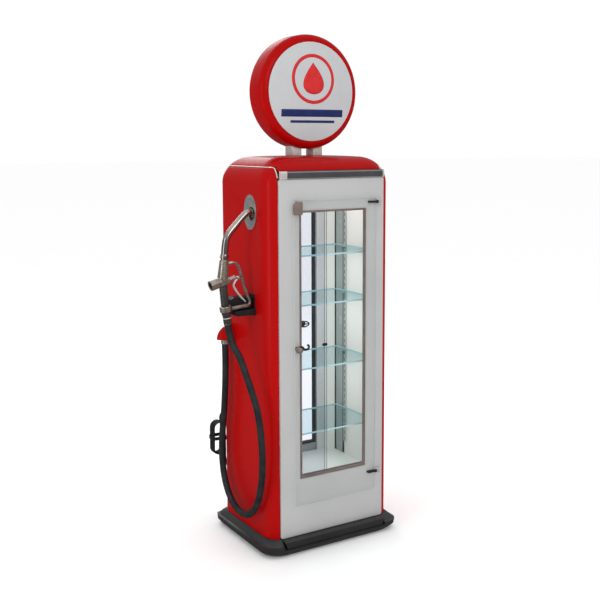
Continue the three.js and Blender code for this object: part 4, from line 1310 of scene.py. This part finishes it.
def dress_all():
    dress(BASE_BLACK, "base_plinth", "kick_plate", sharp=30)
    dress(GREY, "front_panel", "back_panel")
    dress(GREY, "hinge_bracket_bottom", "hinge_bracket_top", ease=0.3)
    dress(LINING, "floor_deck", "inner_wall_left", "inner_wall_right", "ceiling_panel")
    # Painted reflection: the frame, catch and track take the brown of reflected surroundings as their
    # colour
    dress(BROWN_REFLECTION_METAL, "window_frame", "catch_block", "bottom_track", ease=0.6)
    dress(SHELF_GLASS, "shelf_1", "shelf_2", "shelf_3", "shelf_4")
    for end, middle in (("front", -98), ("rear", 76)):
        look = upright_material(f"upright_steel_{end}", middle * MM)
        dress(look, f"upright_left_{end}", f"upright_right_{end}")
    dress(HINGE_BLACK, "hinge_clip_bottom", "hinge_clip_top", ease=0.4)
    dress(HINGE_BLACK, "rear_hinge", ease=0.4)
    dress(REAR_BLACK, "rear_door_frame", ease=0.6)
    dress(PLASTIC, "pane_pull", "lead_cleat", ease=0.5)
    dress(LUG_STEEL, "globe_lug_left", "globe_lug_right", ease=1.2)
    dress(OPAL, "globe_lamp")


# ---- Stage ----------------------------------------------------------------------------------
def make_light(name, place, aim, size, power):
    """A round area light of this size in metres and power in watts, turned towards aim."""
    data = bpy.data.lights.new(name, "AREA")
    data.shape = "DISK"
    data.size = size
    data.energy = power
    lamp = bpy.data.objects.new(name, data)
    lamp.location = place
    lamp.rotation_mode = "QUATERNION"
    lamp.rotation_quaternion = (Vector(aim) - Vector(place)).to_track_quat("-Z", "Y")
    bpy.context.collection.objects.link(lamp)
    return lamp


def make_studio_world():
    """White all round for the view and the soft light.

    Reflections see a dark room with a pale ceiling.
    """
    world = bpy.data.worlds.new("studio")
    bpy.context.scene.world = world
    world.use_nodes = True
    tree = world.node_tree

    def add(kind, links=(), **settings):
        n = tree.nodes.new(kind)
        for key, value in settings.items():
            setattr(n, key, value)
        for key, output in links:
            tree.links.new(output, n.inputs[key])
        return n

    ray = add("ShaderNodeLightPath")
    where = add("ShaderNodeTexCoord")
    apart = add("ShaderNodeSeparateXYZ", [("Vector", where.outputs["Generated"])])
    room = add("ShaderNodeValToRGB", [("Fac", apart.outputs["Z"])])
    room.color_ramp.elements[0].position = 0.05
    room.color_ramp.elements[0].color = (0.17, 0.17, 0.18, 1)
    room.color_ramp.elements[1].position = 0.85
    room.color_ramp.elements[1].color = (0.95, 0.95, 0.97, 1)
    pick = add("ShaderNodeMix", [("Factor", ray.outputs["Is Glossy Ray"])], data_type="RGBA")
    pick.inputs[6].default_value = (1, 1, 1, 1)
    tree.links.new(room.outputs["Color"], pick.inputs[7])
    tree.links.new(pick.outputs[2], tree.nodes["Background"].inputs["Color"])
    tree.nodes["Background"].inputs["Strength"].default_value = 1.02


def make_stage():
    """The pale floor, the studio lights and the small lights between the shelves."""
    bm = bmesh.new()
    half = 60
    rows = [[Vector((-half, y, 0)), Vector((half, y, 0))] for y in (-half, half)]
    add_grid(bm, rows, ring=False)
    paint = satin_paint("floor_paint", (0.985, 0.985, 0.985), (0.998, 0.998, 0.998), 0.8)
    floor = piece("floor", bm, paint, None)
    floor.visible_glossy = False
    make_studio_world()
    make_light("key", (-0.4, -4.6, 3.0), (0, 0, 0.8), 2.2, 38)
    strip = make_light("side_strip", (-3.2, -0.9, 1.3), (-0.3, 0, 1.0), 0.5, 16)
    strip.data.shape = "RECTANGLE"
    strip.data.size_y = 2.4
    make_light("back_fill", (0.6, 3.6, 2.6), (0, 0, 0.9), 2.2, 30)
    for i, (z, power) in enumerate(SHELF_LAMPS):
        lamp = make_light(f"shelf_lamp_{i}", (0.03, 0, z), (0.03, 0.02, 0), 0.24, power)
        lamp.visible_camera = False
        lamp.visible_glossy = False
    bpy.context.scene.view_settings.view_transform = "Standard"


make_camera()
make_hose()
make_lead()
make_gland_and_tie()
make_shells()
make_hood()
make_trims()
make_header()
make_globe()
make_nozzle_body()
make_spout()
make_guard()
make_trigger()
make_swivel()
make_spout_plate()
make_boot()
make_hose_hood()
make_knob()
make_hook()
make_ring_latch()
make_screws()
make_glass()
make_corner_strips()
dress_all()
make_stage()
